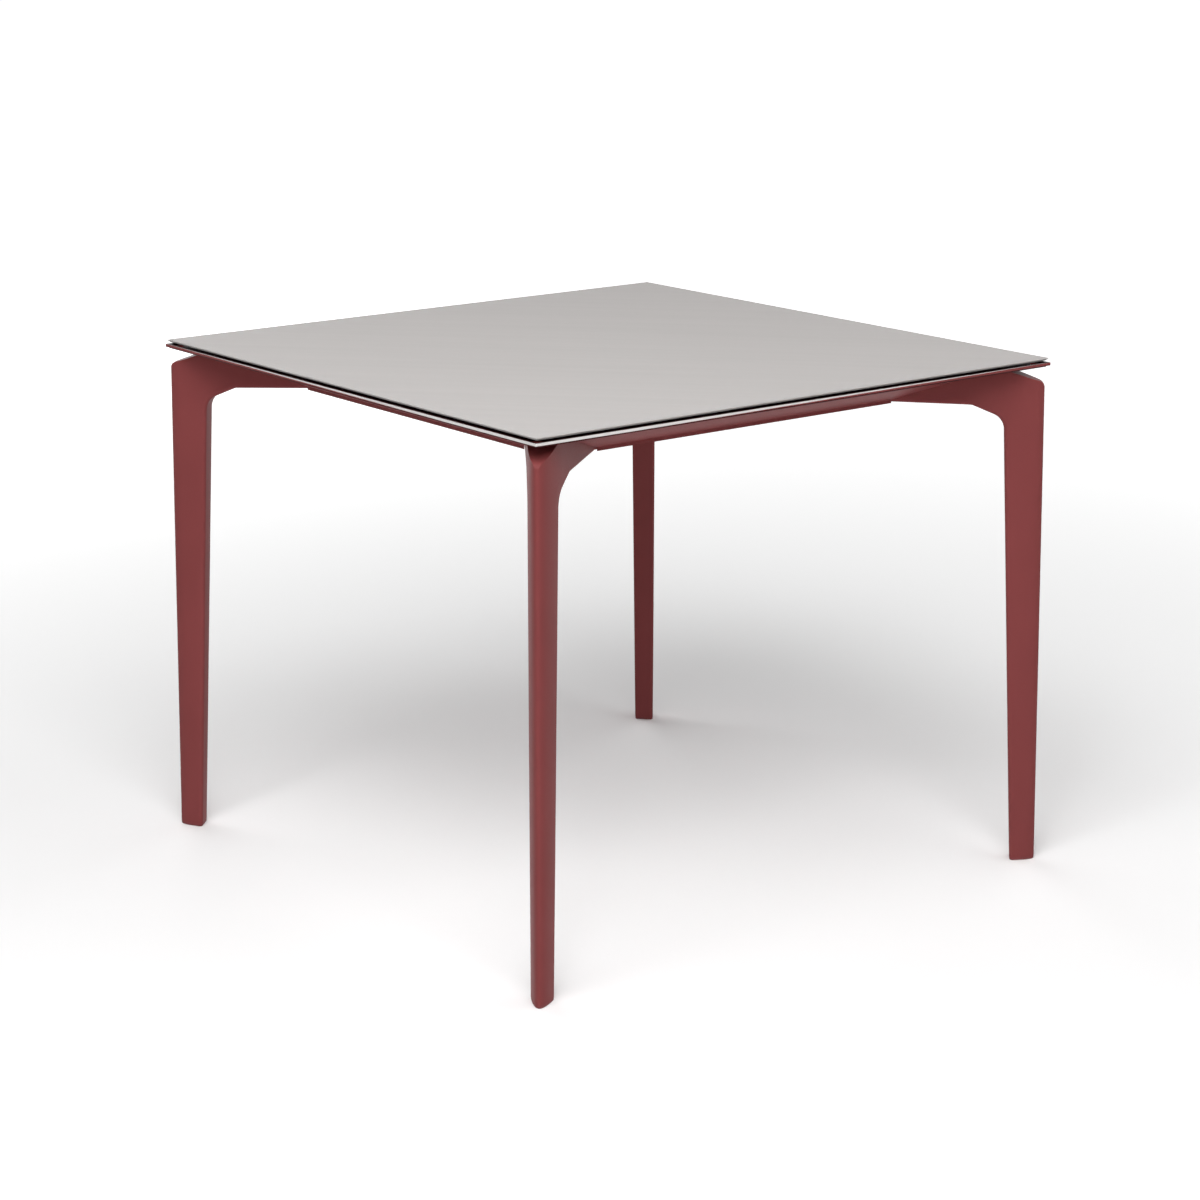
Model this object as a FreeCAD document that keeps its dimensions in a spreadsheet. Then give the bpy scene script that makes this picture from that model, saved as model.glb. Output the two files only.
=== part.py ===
import FreeCAD, Part
import math
import os
import re
import Sketcher

# Square dining table: a thin panel floating over a slim rim, a sloping skirt set back
# under it, and four cast corner legs whose arms run inward along the diagonals.
# The frame is Z up, with the origin on the floor under the centre of the top.
# Front is -Y, right is +X. Sizes are in millimetres and degrees.

document = FreeCAD.newDocument("SquareDiningTable")
sheet = document.addObject("Spreadsheet::Sheet", "Sizes")

SIZES = {
    # Whole table
    "table_side": 900,
    "table_height": 743,
    # Top panel, set back a little behind the rim, bevelled under its edge
    "panel_margin": 2,
    "panel_thick": 4,
    "panel_bevel_rise": 2.8,
    "panel_bevel_reach": 3.5,
    # Edge rail: a rim bar with a flat web behind it, mitred at the corners. The web
    # reaches past the skirt beam by the rail shelf given below
    "shadow_gap": 2.3,
    "rim_thick": 4,
    "rim_height": 4.4,
    "web_drop": 1.9,
    "web_thick": 3.4,
    "corner_window": 28,
    "window_margin": 10,
    # Skirt beam: a hollow wedge under the web, with an upright lip at its foot
    "skirt_start": 35,
    "skirt_end": 122,
    "skirt_fall": 42.9,
    "lip_height": 5,
    "beam_foot_width": 12,
    "rail_shelf": 26,
    "beam_wall": 2.5,
    "seam_gap": 0.4,
    # Leg: a tapered wedge that points out along the diagonal. Its nose is a parabola, which
    # runs on into the straight sides of the arm at the nose's length behind the tip
    "nose_setback": 7.2,
    "foot_splay": 12.1,
    "nose_length": 66,
    "foot_depth": 36,
    "knee_depth": 55.2,
    "leg_edge_radius": 5,
    # Leg head: a sloping shoulder with a rounded nose top
    "shoulder_drop": 21.6,
    "shoulder_angle": 18.8,
    "brow_reach": 2.1,
    "brow_angle": 70,
    "brow_radius": 11,
    # Arm: runs inward from the head and tapers in depth
    "arm_flare_angle": 9.55,
    "arm_end_depth": 45.5,
    "arm_fall_angle": 2.9,
    "arch_start": 100.7,
    "arch_angle": 23.5,
    "arch_lead_radius": 14,
    "arch_radius": 26,
    # Foot glide: a moulded sole with a plug pin
    "glide_height": 4,
    "glide_inset": 0.3,
    "glide_chamfer": 1,
    "glide_pin_setback": 20,
    "glide_pin_radius": 4,
    "glide_pin_length": 14,
    "pin_clearance": 0.3,
    # Panel batten: bonded under the panel, screwed to the web
    "batten_width": 30,
    # Corner bracket: a folded plate behind the arm's end
    "bracket_thick": 4,
    "bracket_height": 30,
    "bracket_drop": 8,
    "bracket_wing": 52,
    # Cross rail: a rectangular tube under the panel, with a rubber strip on top
    "cross_rail_width": 40,
    "cross_rail_height": 20,
    "cross_rail_wall": 2,
    "cross_rail_play": 0.3,
    "rail_strip_width": 30,
    "rail_strip_end_gap": 5,
    # Rubber buttons that stop the panel's edge from rattling on the web
    "button_radius": 8,
    "button_inset": 45,
    "button_end_margin": 45,
    # Small screws, with low heads
    "screw_radius": 2.5,
    "screw_head_radius": 4.75,
    "screw_head_height": 2.5,
    "screw_clearance": 0.25,
    "screw_grip": 3,
    "panel_screw_end_margin": 35,
    "skirt_screw_inset": 80,
    "skirt_screw_end_margin": 95,
    "cross_rail_screw_pitch": 22,
    "arm_screw_outer_reach": 109,
    "arm_screw_outer_spread": 13,
    "arm_screw_inner_reach": 175,
    "arm_screw_inner_spread": 24,
    "arm_screw_length": 12,
    # Bracket screws and arm bolts
    "bracket_screw_radius": 3,
    "bracket_screw_head_radius": 5.25,
    "bracket_screw_head_height": 3.3,
    "bracket_screw_first": 18,
    "bracket_screw_pitch": 22,
    "arm_bolt_radius": 4,
    "arm_bolt_head_radius": 6.5,
    "arm_bolt_head_height": 8,
    "arm_bolt_spread": 26,
    "arm_bolt_length": 24,
    # How far a blind hole runs on past the tip of its pin, screw or bolt
    "blind_hole_extra": 1,
    # How far a drill runs on past the wall that it goes through
    "drill_past": 3,
    # How far a cutting shape runs past what it cuts
    "cut_over": 10,
}

for row, (alias, value) in enumerate(SIZES.items(), start=1):
    sheet.set(f"A{row}", alias)
    sheet.set(f"B{row}", str(value))
    sheet.setAlias(f"B{row}", alias)
document.recompute()

# Heights above the floor, worked out from the top down
PANEL_UNDERSIDE = "(table_height - panel_thick)"
RIM_TOP = f"({PANEL_UNDERSIDE} - shadow_gap)"
RIM_BOTTOM = f"({RIM_TOP} - rim_height)"
WEB_UNDERSIDE = f"({RIM_BOTTOM} - web_drop)"
WEB_TOP = f"({WEB_UNDERSIDE} + web_thick)"
SKIRT_FOOT = f"({WEB_UNDERSIDE} - skirt_fall)"
BEAM_UNDERSIDE = f"({SKIRT_FOOT} - lip_height)"
CROSS_RAIL_UNDERSIDE = f"({WEB_UNDERSIDE} - cross_rail_height)"
BRACKET_TOP = f"({WEB_UNDERSIDE} - bracket_drop)"
BRACKET_BOTTOM = f"({BRACKET_TOP} - bracket_height)"
BRACKET_MIDDLE = f"({BRACKET_TOP} - bracket_height / 2)"

# Places along a side, measured from the table's centre in plan
HALF_SIDE = "(table_side / 2)"
BEAM_INNER = "(skirt_end + beam_foot_width)"
WALL_FACE = f"({HALF_SIDE} - {BEAM_INNER})"
WEB_WIDTH = f"({BEAM_INNER} + rail_shelf)"

# Places along a diagonal, measured from the table's centre in plan
TOP_REACH = "(table_side / sqrt(2) - nose_setback)"
FOOT_REACH = f"({TOP_REACH} + foot_splay)"
NOSE_LEAN = f"(foot_splay / {WEB_UNDERSIDE})"
SOLE_REACH = f"({FOOT_REACH} - {NOSE_LEAN} * glide_height)"
ARM_SLOPE = "tan(arm_flare_angle)"
FLANK_REACH = f"({TOP_REACH} - nose_length)"
FLANK_HALF = f"(2 * nose_length * {ARM_SLOPE})"
FLANK_SPAN = f"({FLANK_HALF} + {FLANK_REACH} * {ARM_SLOPE})"
WALL_LINE = f"({WALL_FACE} * sqrt(2))"
ARM_END = f"(({WALL_LINE} - {FLANK_SPAN}) / (1 - {ARM_SLOPE}))"
ARM_END_HALF = f"({WALL_LINE} - {ARM_END})"
LIP_LINE = f"(({HALF_SIDE} - skirt_end) * sqrt(2))"
SEAT_REACH = f"(({LIP_LINE} - {FLANK_SPAN}) / (1 - {ARM_SLOPE}))"
BEND_X = f"(({ARM_END} - {ARM_END_HALF}) / sqrt(2))"
ARCH_REACH = f"({TOP_REACH} - arch_start)"
ARM_FALL = f"(({ARCH_REACH} - {ARM_END}) * tan(arm_fall_angle))"
ARM_END_UNDERSIDE = f"({WEB_UNDERSIDE} - arm_end_depth)"
ARCH_HEIGHT = f"({ARM_END_UNDERSIDE} - {ARM_FALL})"

SIDE_ANGLES = {"front": 0, "right": 90, "back": 180, "left": 270}
CORNER_ANGLES = {"back_right": 45, "back_left": 135, "front_left": 225, "front_right": 315}
Z_AXIS = FreeCAD.Vector(0, 0, 1)
HALF_TURN_ANGLE = 180

bodies = []
# An edge or face counts as lying on a plane within this many millimetres
EDGE_TOLERANCE = 0.01
# A face is flat to the side below this share, and upright to it above the rest
FLAT_SHARE = 0.15


def bound(formula):
    """Return the formula with every size name pointing at its cell in the sheet."""
    return re.sub(
        r"[a-z_]+",
        lambda found: "Sizes." + found.group() if found.group() in SIZES else found.group(),
        formula,
    )


def value_of(formula):
    """Return the formula's present value as a plain number."""
    return float(sheet.evalExpression(formula))


def new_body(label, turn=0):
    """Start a sub-part that is turned about the table's upright axis."""
    body = document.addObject("PartDesign::Body", label)
    body.Label = label
    body.Placement = FreeCAD.Placement(FreeCAD.Vector(), FreeCAD.Rotation(Z_AXIS, turn))
    bodies.append(body)
    return body


def origin_feature(body, role):
    """Return one of the body's own origin planes or axes."""
    return next(each for each in body.Origin.OriginFeatures if each.Role == role)


def new_sketch(body, name, plane, shift="0"):
    """Attach a sketch to an origin plane of the body, moved along the plane's normal."""
    sketch = body.newObject("Sketcher::SketchObject", f"{body.Label}_{name}")
    sketch.AttachmentSupport = [(origin_feature(body, plane), "")]
    sketch.MapMode = "FlatFace"
    sketch.setExpression(".AttachmentOffset.Base.z", bound(shift))
    document.recompute()
    return sketch


def fix_point(sketch, geometry, point, x, y):
    """Tie a point of the sketch to two formulas of the sheet."""
    for kind, formula in (("DistanceX", x), ("DistanceY", y)):
        rule = Sketcher.Constraint(kind, -1, 1, geometry, point, value_of(formula))
        index = sketch.addConstraint(rule)
        sketch.setExpression(f"Constraints[{index}]", bound(formula))


def fix_radius(sketch, geometry, radius):
    """Tie the radius of an arc or circle to a formula of the sheet."""
    index = sketch.addConstraint(Sketcher.Constraint("Radius", geometry, value_of(radius)))
    sketch.setExpression(f"Constraints[{index}]", bound(radius))


def draw_outline(sketch, corners):
    """Draw a closed outline. A corner is x, y and, where it is rounded, a radius."""
    count = len(corners)
    spots = [FreeCAD.Vector(value_of(corner[0]), value_of(corner[1]), 0) for corner in corners]
    arrive = list(spots)
    leave = list(spots)
    arcs = {}
    for k, corner in enumerate(corners):
        rounding = corner[2:]
        if not rounding:
            continue
        before = (spots[k - 1] - spots[k]).normalize()
        after = (spots[(k + 1) % count] - spots[k]).normalize()
        half = before.getAngle(after) / 2
        radius = value_of(rounding[0])
        arrive[k] = spots[k] + before * (radius / math.tan(half))
        leave[k] = spots[k] + after * (radius / math.tan(half))
        centre = spots[k] + (before + after).normalize() * (radius / math.sin(half))
        arcs[k] = (centre, radius, before.cross(after).z < 0)
    first = sketch.GeometryCount
    for k in range(count):
        sketch.addGeometry(Part.LineSegment(leave[k], arrive[(k + 1) % count]), False)
    for k, corner in enumerate(corners):
        line_in = first + (k - 1) % count
        line_out = first + k
        if k not in arcs:
            sketch.addConstraint(Sketcher.Constraint("Coincident", line_in, 2, line_out, 1))
            fix_point(sketch, line_out, 1, corner[0], corner[1])
            continue
        centre, radius, turns_left = arcs[k]
        start, end = (arrive[k], leave[k]) if turns_left else (leave[k], arrive[k])
        circle = Part.Circle(centre, Z_AXIS, radius)
        arc = sketch.addGeometry(
            Part.ArcOfCircle(circle, circle.parameter(start), circle.parameter(end)), False
        )
        tip = sketch.addGeometry(Part.Point(spots[k]), True)
        near, far = (1, 2) if turns_left else (2, 1)
        sketch.addConstraint(Sketcher.Constraint("Tangent", line_in, 2, arc, near))
        sketch.addConstraint(Sketcher.Constraint("Tangent", arc, far, line_out, 1))
        sketch.addConstraint(Sketcher.Constraint("PointOnObject", tip, 1, line_in))
        sketch.addConstraint(Sketcher.Constraint("PointOnObject", tip, 1, line_out))
        fix_radius(sketch, arc, corner[2])
        fix_point(sketch, tip, 1, corner[0], corner[1])
    document.recompute()


def draw_circles(sketch, centres, radius):
    """Draw circles of one radius at the given x, y formulas."""
    for x, y in centres:
        centre = FreeCAD.Vector(value_of(x), value_of(y), 0)
        circle = sketch.addGeometry(Part.Circle(centre, Z_AXIS, value_of(radius)), False)
        fix_radius(sketch, circle, radius)
        fix_point(sketch, circle, 3, x, y)
    document.recompute()


def both_ends(corners):
    """Return an outline and its mirror image across the sketch's upright axis."""
    mirrored = [(f"-({corner[0]})",) + tuple(corner[1:]) for corner in reversed(corners)]
    return corners, mirrored


def extrude(body, sketch, kind, length, name, symmetric=False, backwards=False):
    """Add a pad or pocket of the sketch and return it."""
    feature = body.newObject(f"PartDesign::{kind}", f"{body.Label}_{name}")
    feature.Profile = sketch
    feature.SideType = "Symmetric" if symmetric else "One side"
    feature.Reversed = backwards
    feature.setExpression("Length", bound(length))
    document.recompute()
    return feature


def rectangle(x_low, y_low, x_high, y_high):
    """Return the four corners of a rectangle."""
    return [(x_low, y_low), (x_high, y_low), (x_high, y_high), (x_low, y_high)]


def upright_cut(body, name, outlines):
    """Cut outlines drawn in plan through the body's whole height."""
    sketch = new_sketch(body, name, "XY_Plane")
    for corners in outlines:
        draw_outline(sketch, corners)
    return extrude(body, sketch, "Pocket", "2 * table_height", name + "_cut", symmetric=True)


def upright_holes(body, name, centres, radius):
    """Drill upright holes through the body."""
    sketch = new_sketch(body, name, "XY_Plane")
    draw_circles(sketch, centres, radius)
    return extrude(body, sketch, "Pocket", "2 * table_height", name + "_cut", symmetric=True)


def mitre(outer_inset, inner_inset):
    """Return the plan outline that cuts a bar's right end to 45 degrees."""
    outer = f"({HALF_SIDE} - ({outer_inset}) + cut_over)"
    inner = f"({HALF_SIDE} - ({inner_inset}) - cut_over)"
    end = f"({HALF_SIDE} + 2 * cut_over)"
    return [(outer, f"-{outer}"), (end, f"-{outer}"), (end, f"-{inner}"), (inner, f"-{inner}")]


def four_ways(values_x, y):
    """Return places mirrored left and right of the middle of a side."""
    return [(f"{sign}({x})", y) for x in values_x for sign in ("", "-")]


# Places of the upright screws and buttons, in the frame of the front side. Each row keeps
# a margin from the bends of the brackets, and the cross rails lie midway between screws
PANEL_SCREW_PITCH = f"(({BEND_X} - panel_screw_end_margin) * 2 / 3)"
PANEL_SCREW_Y = f"(-{HALF_SIDE} + {WEB_WIDTH} - batten_width / 2)"
PANEL_SCREWS = four_ways([f"{PANEL_SCREW_PITCH} / 2", f"{PANEL_SCREW_PITCH} * 3 / 2"], PANEL_SCREW_Y)
SKIRT_SCREW_Y = f"(-{HALF_SIDE} + skirt_screw_inset)"
SKIRT_SCREWS = four_ways([f"{BEND_X} - skirt_screw_end_margin"], SKIRT_SCREW_Y) + [("0", SKIRT_SCREW_Y)]
BUTTON_Y = f"(-{HALF_SIDE} + button_inset)"
BUTTONS = four_ways([f"{BEND_X} - button_end_margin"], BUTTON_Y) + [("0", BUTTON_Y)]
CROSS_RAIL_SCREWS = four_ways(
    [
        f"{PANEL_SCREW_PITCH} - cross_rail_screw_pitch / 2",
        f"{PANEL_SCREW_PITCH} + cross_rail_screw_pitch / 2",
    ],
    PANEL_SCREW_Y,
)
# Places of the arm screws along the diagonal and to each side of it
ARM_SCREWS = [
    (f"({TOP_REACH} - arm_screw_outer_reach)", "arm_screw_outer_spread"),
    (f"({TOP_REACH} - arm_screw_inner_reach)", "arm_screw_inner_spread"),
]
ARM_SCREWS_ON_RAIL = [
    (f"{sign}({along} - {aside}) / sqrt(2)", f"-({along} + {aside}) / sqrt(2)")
    for along, aside in ARM_SCREWS
    for sign in ("", "-")
]
BRACKET_SCREWS = [
    (f"({BEND_X} - bracket_screw_first)", BRACKET_MIDDLE),
    (f"({BEND_X} - bracket_screw_first - bracket_screw_pitch)", BRACKET_MIDDLE),
]
SCREW_HOLE = "(screw_radius + screw_clearance)"
BRACKET_SCREW_HOLE = "(bracket_screw_radius + screw_clearance)"
ARM_BOLT_HOLE = "(arm_bolt_radius + screw_clearance)"


def make_top_panel():
    """Make the thin square panel, full size above and bevelled below its edge."""
    body = new_body("top_panel")
    edge = f"({HALF_SIDE} - panel_margin)"
    low = f"({edge} - panel_bevel_reach)"
    bevel_top = f"({PANEL_UNDERSIDE} + panel_bevel_rise)"
    under = new_sketch(body, "underside", "XY_Plane", PANEL_UNDERSIDE)
    draw_outline(under, rectangle(f"-{low}", f"-{low}", low, low))
    rise = new_sketch(body, "bevel_top", "XY_Plane", bevel_top)
    draw_outline(rise, rectangle(f"-{edge}", f"-{edge}", edge, edge))
    loft = body.newObject("PartDesign::AdditiveLoft", "top_panel_bevel")
    loft.Profile = under
    loft.Sections = [rise]
    loft.Ruled = True
    document.recompute()
    face = new_sketch(body, "sheet", "XY_Plane", bevel_top)
    draw_outline(face, rectangle(f"-{edge}", f"-{edge}", edge, edge))
    extrude(body, face, "Pad", "panel_thick - panel_bevel_rise", "sheet_pad")


def make_panel_batten(side, turn):
    """Make a flat bar, mitred at its ends, that lies between the panel and the web."""
    body = new_body(f"panel_batten_{side}", turn)
    outer = f"(-{HALF_SIDE} + {WEB_WIDTH} - batten_width)"
    section = new_sketch(body, "section", "YZ_Plane")
    draw_outline(
        section, rectangle(outer, WEB_TOP, f"{outer} + batten_width", PANEL_UNDERSIDE)
    )
    extrude(body, section, "Pad", "table_side", "bar", symmetric=True)
    upright_cut(body, "mitres", both_ends(mitre(f"{WEB_WIDTH} - batten_width", WEB_WIDTH)))
    upright_holes(body, "screw_holes", PANEL_SCREWS, SCREW_HOLE)
    if side in ("front", "back"):
        upright_holes(body, "cross_rail_holes", CROSS_RAIL_SCREWS, SCREW_HOLE)


def make_edge_rail(side, turn):
    """Make a rim bar with its web, mitred, and with its web cut back at the corners."""
    body = new_body(f"edge_rail_{side}", turn)
    outer = f"-{HALF_SIDE}"
    rim = f"({outer} + rim_thick)"
    inner = f"({outer} + {WEB_WIDTH})"
    section = new_sketch(body, "section", "YZ_Plane")
    draw_outline(
        section,
        [
            (outer, RIM_BOTTOM),
            (rim, RIM_BOTTOM),
            (rim, WEB_UNDERSIDE),
            (inner, WEB_UNDERSIDE),
            (inner, WEB_TOP),
            (rim, WEB_TOP),
            (rim, RIM_TOP),
            (outer, RIM_TOP),
        ],
    )
    extrude(body, section, "Pad", "table_side", "rail", symmetric=True)
    upright_cut(body, "mitres", both_ends(mitre("0", WEB_WIDTH)))
    corner = f"({HALF_SIDE} - window_margin)"
    window = f"({HALF_SIDE} - corner_window * sqrt(2) + window_margin)"
    outline = [(corner, f"-{corner}"), (corner, f"-{window}"), (window, f"-{corner}")]
    upright_cut(body, "corner_windows", both_ends(outline))
    upright_holes(body, "panel_screw_holes", PANEL_SCREWS, SCREW_HOLE)
    upright_holes(body, "skirt_screw_holes", SKIRT_SCREWS, SCREW_HOLE)
    upright_holes(body, "arm_screw_holes", ARM_SCREWS_ON_RAIL, SCREW_HOLE)
    if side in ("front", "back"):
        upright_holes(body, "cross_rail_holes", CROSS_RAIL_SCREWS, SCREW_HOLE)


def make_skirt_beam(side, turn):
    """Make the hollow wedge beam that closes the underside between two arms."""
    body = new_body(f"skirt_beam_{side}", turn)
    start = f"(-{HALF_SIDE} + skirt_start)"
    foot = f"(-{HALF_SIDE} + skirt_end)"
    back = f"(-{WALL_FACE})"
    slope = "atan(skirt_fall / (skirt_end - skirt_start))"
    section = new_sketch(body, "section", "YZ_Plane")
    draw_outline(
        section,
        [
            (start, WEB_UNDERSIDE),
            (foot, SKIRT_FOOT),
            (foot, BEAM_UNDERSIDE),
            (back, BEAM_UNDERSIDE),
            (back, WEB_UNDERSIDE),
        ],
    )
    inner_top = f"({WEB_UNDERSIDE} - beam_wall)"
    inner_foot = f"({foot} + beam_wall)"
    inner_start = f"({start} + beam_wall / tan({slope} / 2))"
    inner_drop = f"({inner_foot} - {inner_start}) * tan({slope})"
    draw_outline(
        section,
        [
            (inner_start, inner_top),
            (inner_foot, f"{inner_top} - {inner_drop}"),
            (inner_foot, f"{BEAM_UNDERSIDE} + beam_wall"),
            (f"{back} - beam_wall", f"{BEAM_UNDERSIDE} + beam_wall"),
            (f"{back} - beam_wall", inner_top),
        ],
    )
    extrude(body, section, "Pad", "table_side", "beam", symmetric=True)
    near = f"({start} - cut_over)"
    far = f"({back} + cut_over)"
    end = f"({HALF_SIDE} + cut_over)"
    outline = [(arm_line(near), near), (end, near), (end, far), (arm_line(far), far)]
    upright_cut(body, "ends", both_ends(outline))
    holes = new_sketch(body, "bracket_screw_holes", "XZ_Plane", f"-{back}")
    draw_circles(holes, four_ways([x for x, _ in BRACKET_SCREWS], BRACKET_MIDDLE), BRACKET_SCREW_HOLE)
    extrude(body, holes, "Pocket", "2 * (beam_wall + drill_past)", "bracket_cut", symmetric=True)
    tops = new_sketch(body, "skirt_screw_holes", "XY_Plane", WEB_UNDERSIDE)
    draw_circles(tops, SKIRT_SCREWS, SCREW_HOLE)
    extrude(body, tops, "Pocket", "2 * (beam_wall + drill_past)", "skirt_cut", symmetric=True)


def arm_line(y):
    """Return the x at which an arm's side, with the seam gap, crosses a given y."""
    half = f"({FLANK_SPAN} + seam_gap / cos(arm_flare_angle))"
    return f"(-(sqrt(2) * {half} + ({y}) * (1 + {ARM_SLOPE})) / (1 - {ARM_SLOPE}))"


def nose_half(length):
    """Return the leg's half width at a distance behind the tip of its nose."""
    return f"(2 * {ARM_SLOPE} * sqrt(nose_length * ({length})))"


def draw_nose(sketch, tip, length, half, corners):
    """Draw the nose's parabola, and close it with lines through the given corners.

    The parabola ends at the given length behind its tip, where it has the given half
    width, so the middle one of its three poles lies as far in front of the tip.
    """
    poles = [
        (f"{tip} - {length}", half),
        (f"{tip} + {length}", "0"),
        (f"{tip} - {length}", f"-{half}"),
    ]
    spots = [FreeCAD.Vector(value_of(x), value_of(y), 0) for x, y in poles + corners]
    degree = len(poles) - 1
    curve = Part.BSplineCurve()
    curve.buildFromPolesMultsKnots(spots[: degree + 1], [degree + 1] * 2, [0, 1], False, degree)
    nose = sketch.addGeometry(curve, False)
    sketch.exposeInternalGeometry(nose)
    for number, (x, y) in enumerate(poles, start=1):
        fix_point(sketch, nose + number, 3, x, y)
    before = nose
    stops = spots[degree:] + spots[:1]
    for number, (start, stop) in enumerate(zip(stops, stops[1:])):
        line = sketch.addGeometry(Part.LineSegment(start, stop), False)
        sketch.addConstraint(Sketcher.Constraint("Coincident", before, 2, line, 1))
        if number < len(corners):
            fix_point(sketch, line, 2, *corners[number])
        before = line
    sketch.addConstraint(Sketcher.Constraint("Coincident", before, 2, nose, 1))
    document.recompute()


def draw_leg_plan(sketch, reach):
    """Draw the plan of leg and arm, for a nose whose tip has the given reach."""
    end = f"({ARM_END} - cut_over + {reach} - {TOP_REACH})"
    end_half = f"({ARM_END_HALF} + cut_over * {ARM_SLOPE})"
    draw_nose(sketch, reach, "nose_length", FLANK_HALF, [(end, f"-{end_half}"), (end, end_half)])


def leg_profile():
    """Return the side outline of leg and arm, in the upright plane of the diagonal."""
    out = f"({FOOT_REACH} + cut_over)"
    brow = f"({TOP_REACH} - brow_reach)"
    brow_height = f"({WEB_UNDERSIDE} - shoulder_drop + brow_reach * tan(shoulder_angle))"
    crest = f"({brow} - ({WEB_UNDERSIDE} - {brow_height}) / tan(shoulder_angle))"
    knee = f"({TOP_REACH} - knee_depth)"
    knee_height = f"({ARCH_HEIGHT} - ({knee} - {ARCH_REACH}) * tan(arch_angle))"
    return [
        (f"{SOLE_REACH} - foot_depth", "glide_height"),
        (out, "glide_height"),
        (out, f"{brow_height} - ({out} - {brow}) * tan(brow_angle)"),
        (brow, brow_height, "brow_radius"),
        (crest, WEB_UNDERSIDE),
        (ARM_END, WEB_UNDERSIDE),
        (ARM_END, ARM_END_UNDERSIDE),
        (ARCH_REACH, ARCH_HEIGHT, "arch_lead_radius"),
        (knee, knee_height, "arch_radius"),
    ]


def make_leg(corner, turn):
    """Make a leg cast in one with its arm. X is outward along the diagonal here."""
    body = new_body(f"leg_{corner}", turn)
    sole = new_sketch(body, "sole", "XY_Plane", "glide_height")
    draw_leg_plan(sole, SOLE_REACH)
    top = new_sketch(body, "top", "XY_Plane", WEB_UNDERSIDE)
    draw_leg_plan(top, TOP_REACH)
    loft = body.newObject("PartDesign::AdditiveLoft", f"{body.Label}_taper")
    loft.Profile = sole
    loft.Sections = [top]
    loft.Ruled = True
    document.recompute()
    profile = new_sketch(body, "profile", "XZ_Plane")
    out = f"({FOOT_REACH} + 2 * cut_over)"
    draw_outline(profile, rectangle("0", "-cut_over", out, "table_height"))
    draw_outline(profile, leg_profile())
    trimmed = extrude(body, profile, "Pocket", "table_side", "trim", symmetric=True)
    rounding = body.newObject("PartDesign::Fillet", f"{body.Label}_edges")
    rounding.Base = (trimmed, inner_edges(trimmed.Shape))
    rounding.setExpression("Radius", bound("leg_edge_radius"))
    document.recompute()
    seat = new_sketch(body, "seat", "XY_Plane", ARM_END_UNDERSIDE)
    seat_half = f"({LIP_LINE} - {SEAT_REACH})"
    sides = [(ARM_END, ARM_END_HALF), (SEAT_REACH, seat_half)]
    mirrored = [(x, f"-{y}") for x, y in reversed(sides)]
    draw_outline(seat, sides + [(LIP_LINE, "0")] + mirrored)
    extrude(body, seat, "Pad", "leg_edge_radius", "square_seat")
    pin = new_sketch(body, "pin_hole", "XY_Plane", "glide_height")
    draw_circles(pin, [(f"{SOLE_REACH} - glide_pin_setback", "0")], "glide_pin_radius + pin_clearance")
    depth = "2 * (glide_pin_length + blind_hole_extra)"
    extrude(body, pin, "Pocket", depth, "pin_cut", symmetric=True)
    bolts = new_sketch(body, "bolt_holes", "YZ_Plane", ARM_END)
    draw_circles(bolts, four_ways(["arm_bolt_spread"], BRACKET_MIDDLE), ARM_BOLT_HOLE)
    depth = "2 * (arm_bolt_length - bracket_thick + blind_hole_extra)"
    extrude(body, bolts, "Pocket", depth, "bolt_cut", symmetric=True)
    screws = new_sketch(body, "screw_holes", "XY_Plane", WEB_UNDERSIDE)
    centres = [(x, f"{sign}{y}") for x, y in ARM_SCREWS for sign in ("", "-")]
    draw_circles(screws, centres, SCREW_HOLE)
    depth = "2 * (arm_screw_length - web_thick + blind_hole_extra)"
    extrude(body, screws, "Pocket", depth, "screw_cut", symmetric=True)


def inner_edges(shape):
    """Return the names of the edges that frame the leg's inner side and the arch."""
    sole = value_of("glide_height")
    end = value_of(ARM_END)
    names = []
    for number, edge in enumerate(shape.Edges, start=1):
        points = edge.discretize(3)
        on_sole = all(abs(point.z - sole) < EDGE_TOLERANCE for point in points)
        on_end = all(abs(point.x - end) < EDGE_TOLERANCE for point in points)
        if on_sole or on_end or points[1].z > value_of(ARM_END_UNDERSIDE):
            continue
        leans = sorted(sideways(face, points[1]) for face in shape.ancestorsOfType(edge, Part.Face))
        if leans[0] < FLAT_SHARE and leans[-1] > 1 - FLAT_SHARE:
            names.append(f"Edge{number}")
    return names


def sideways(face, point):
    """Return how far the face turns to the leg's side at a point, from 0 to 1."""
    return abs(face.normalAt(*face.Surface.parameter(point)).y)


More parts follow.
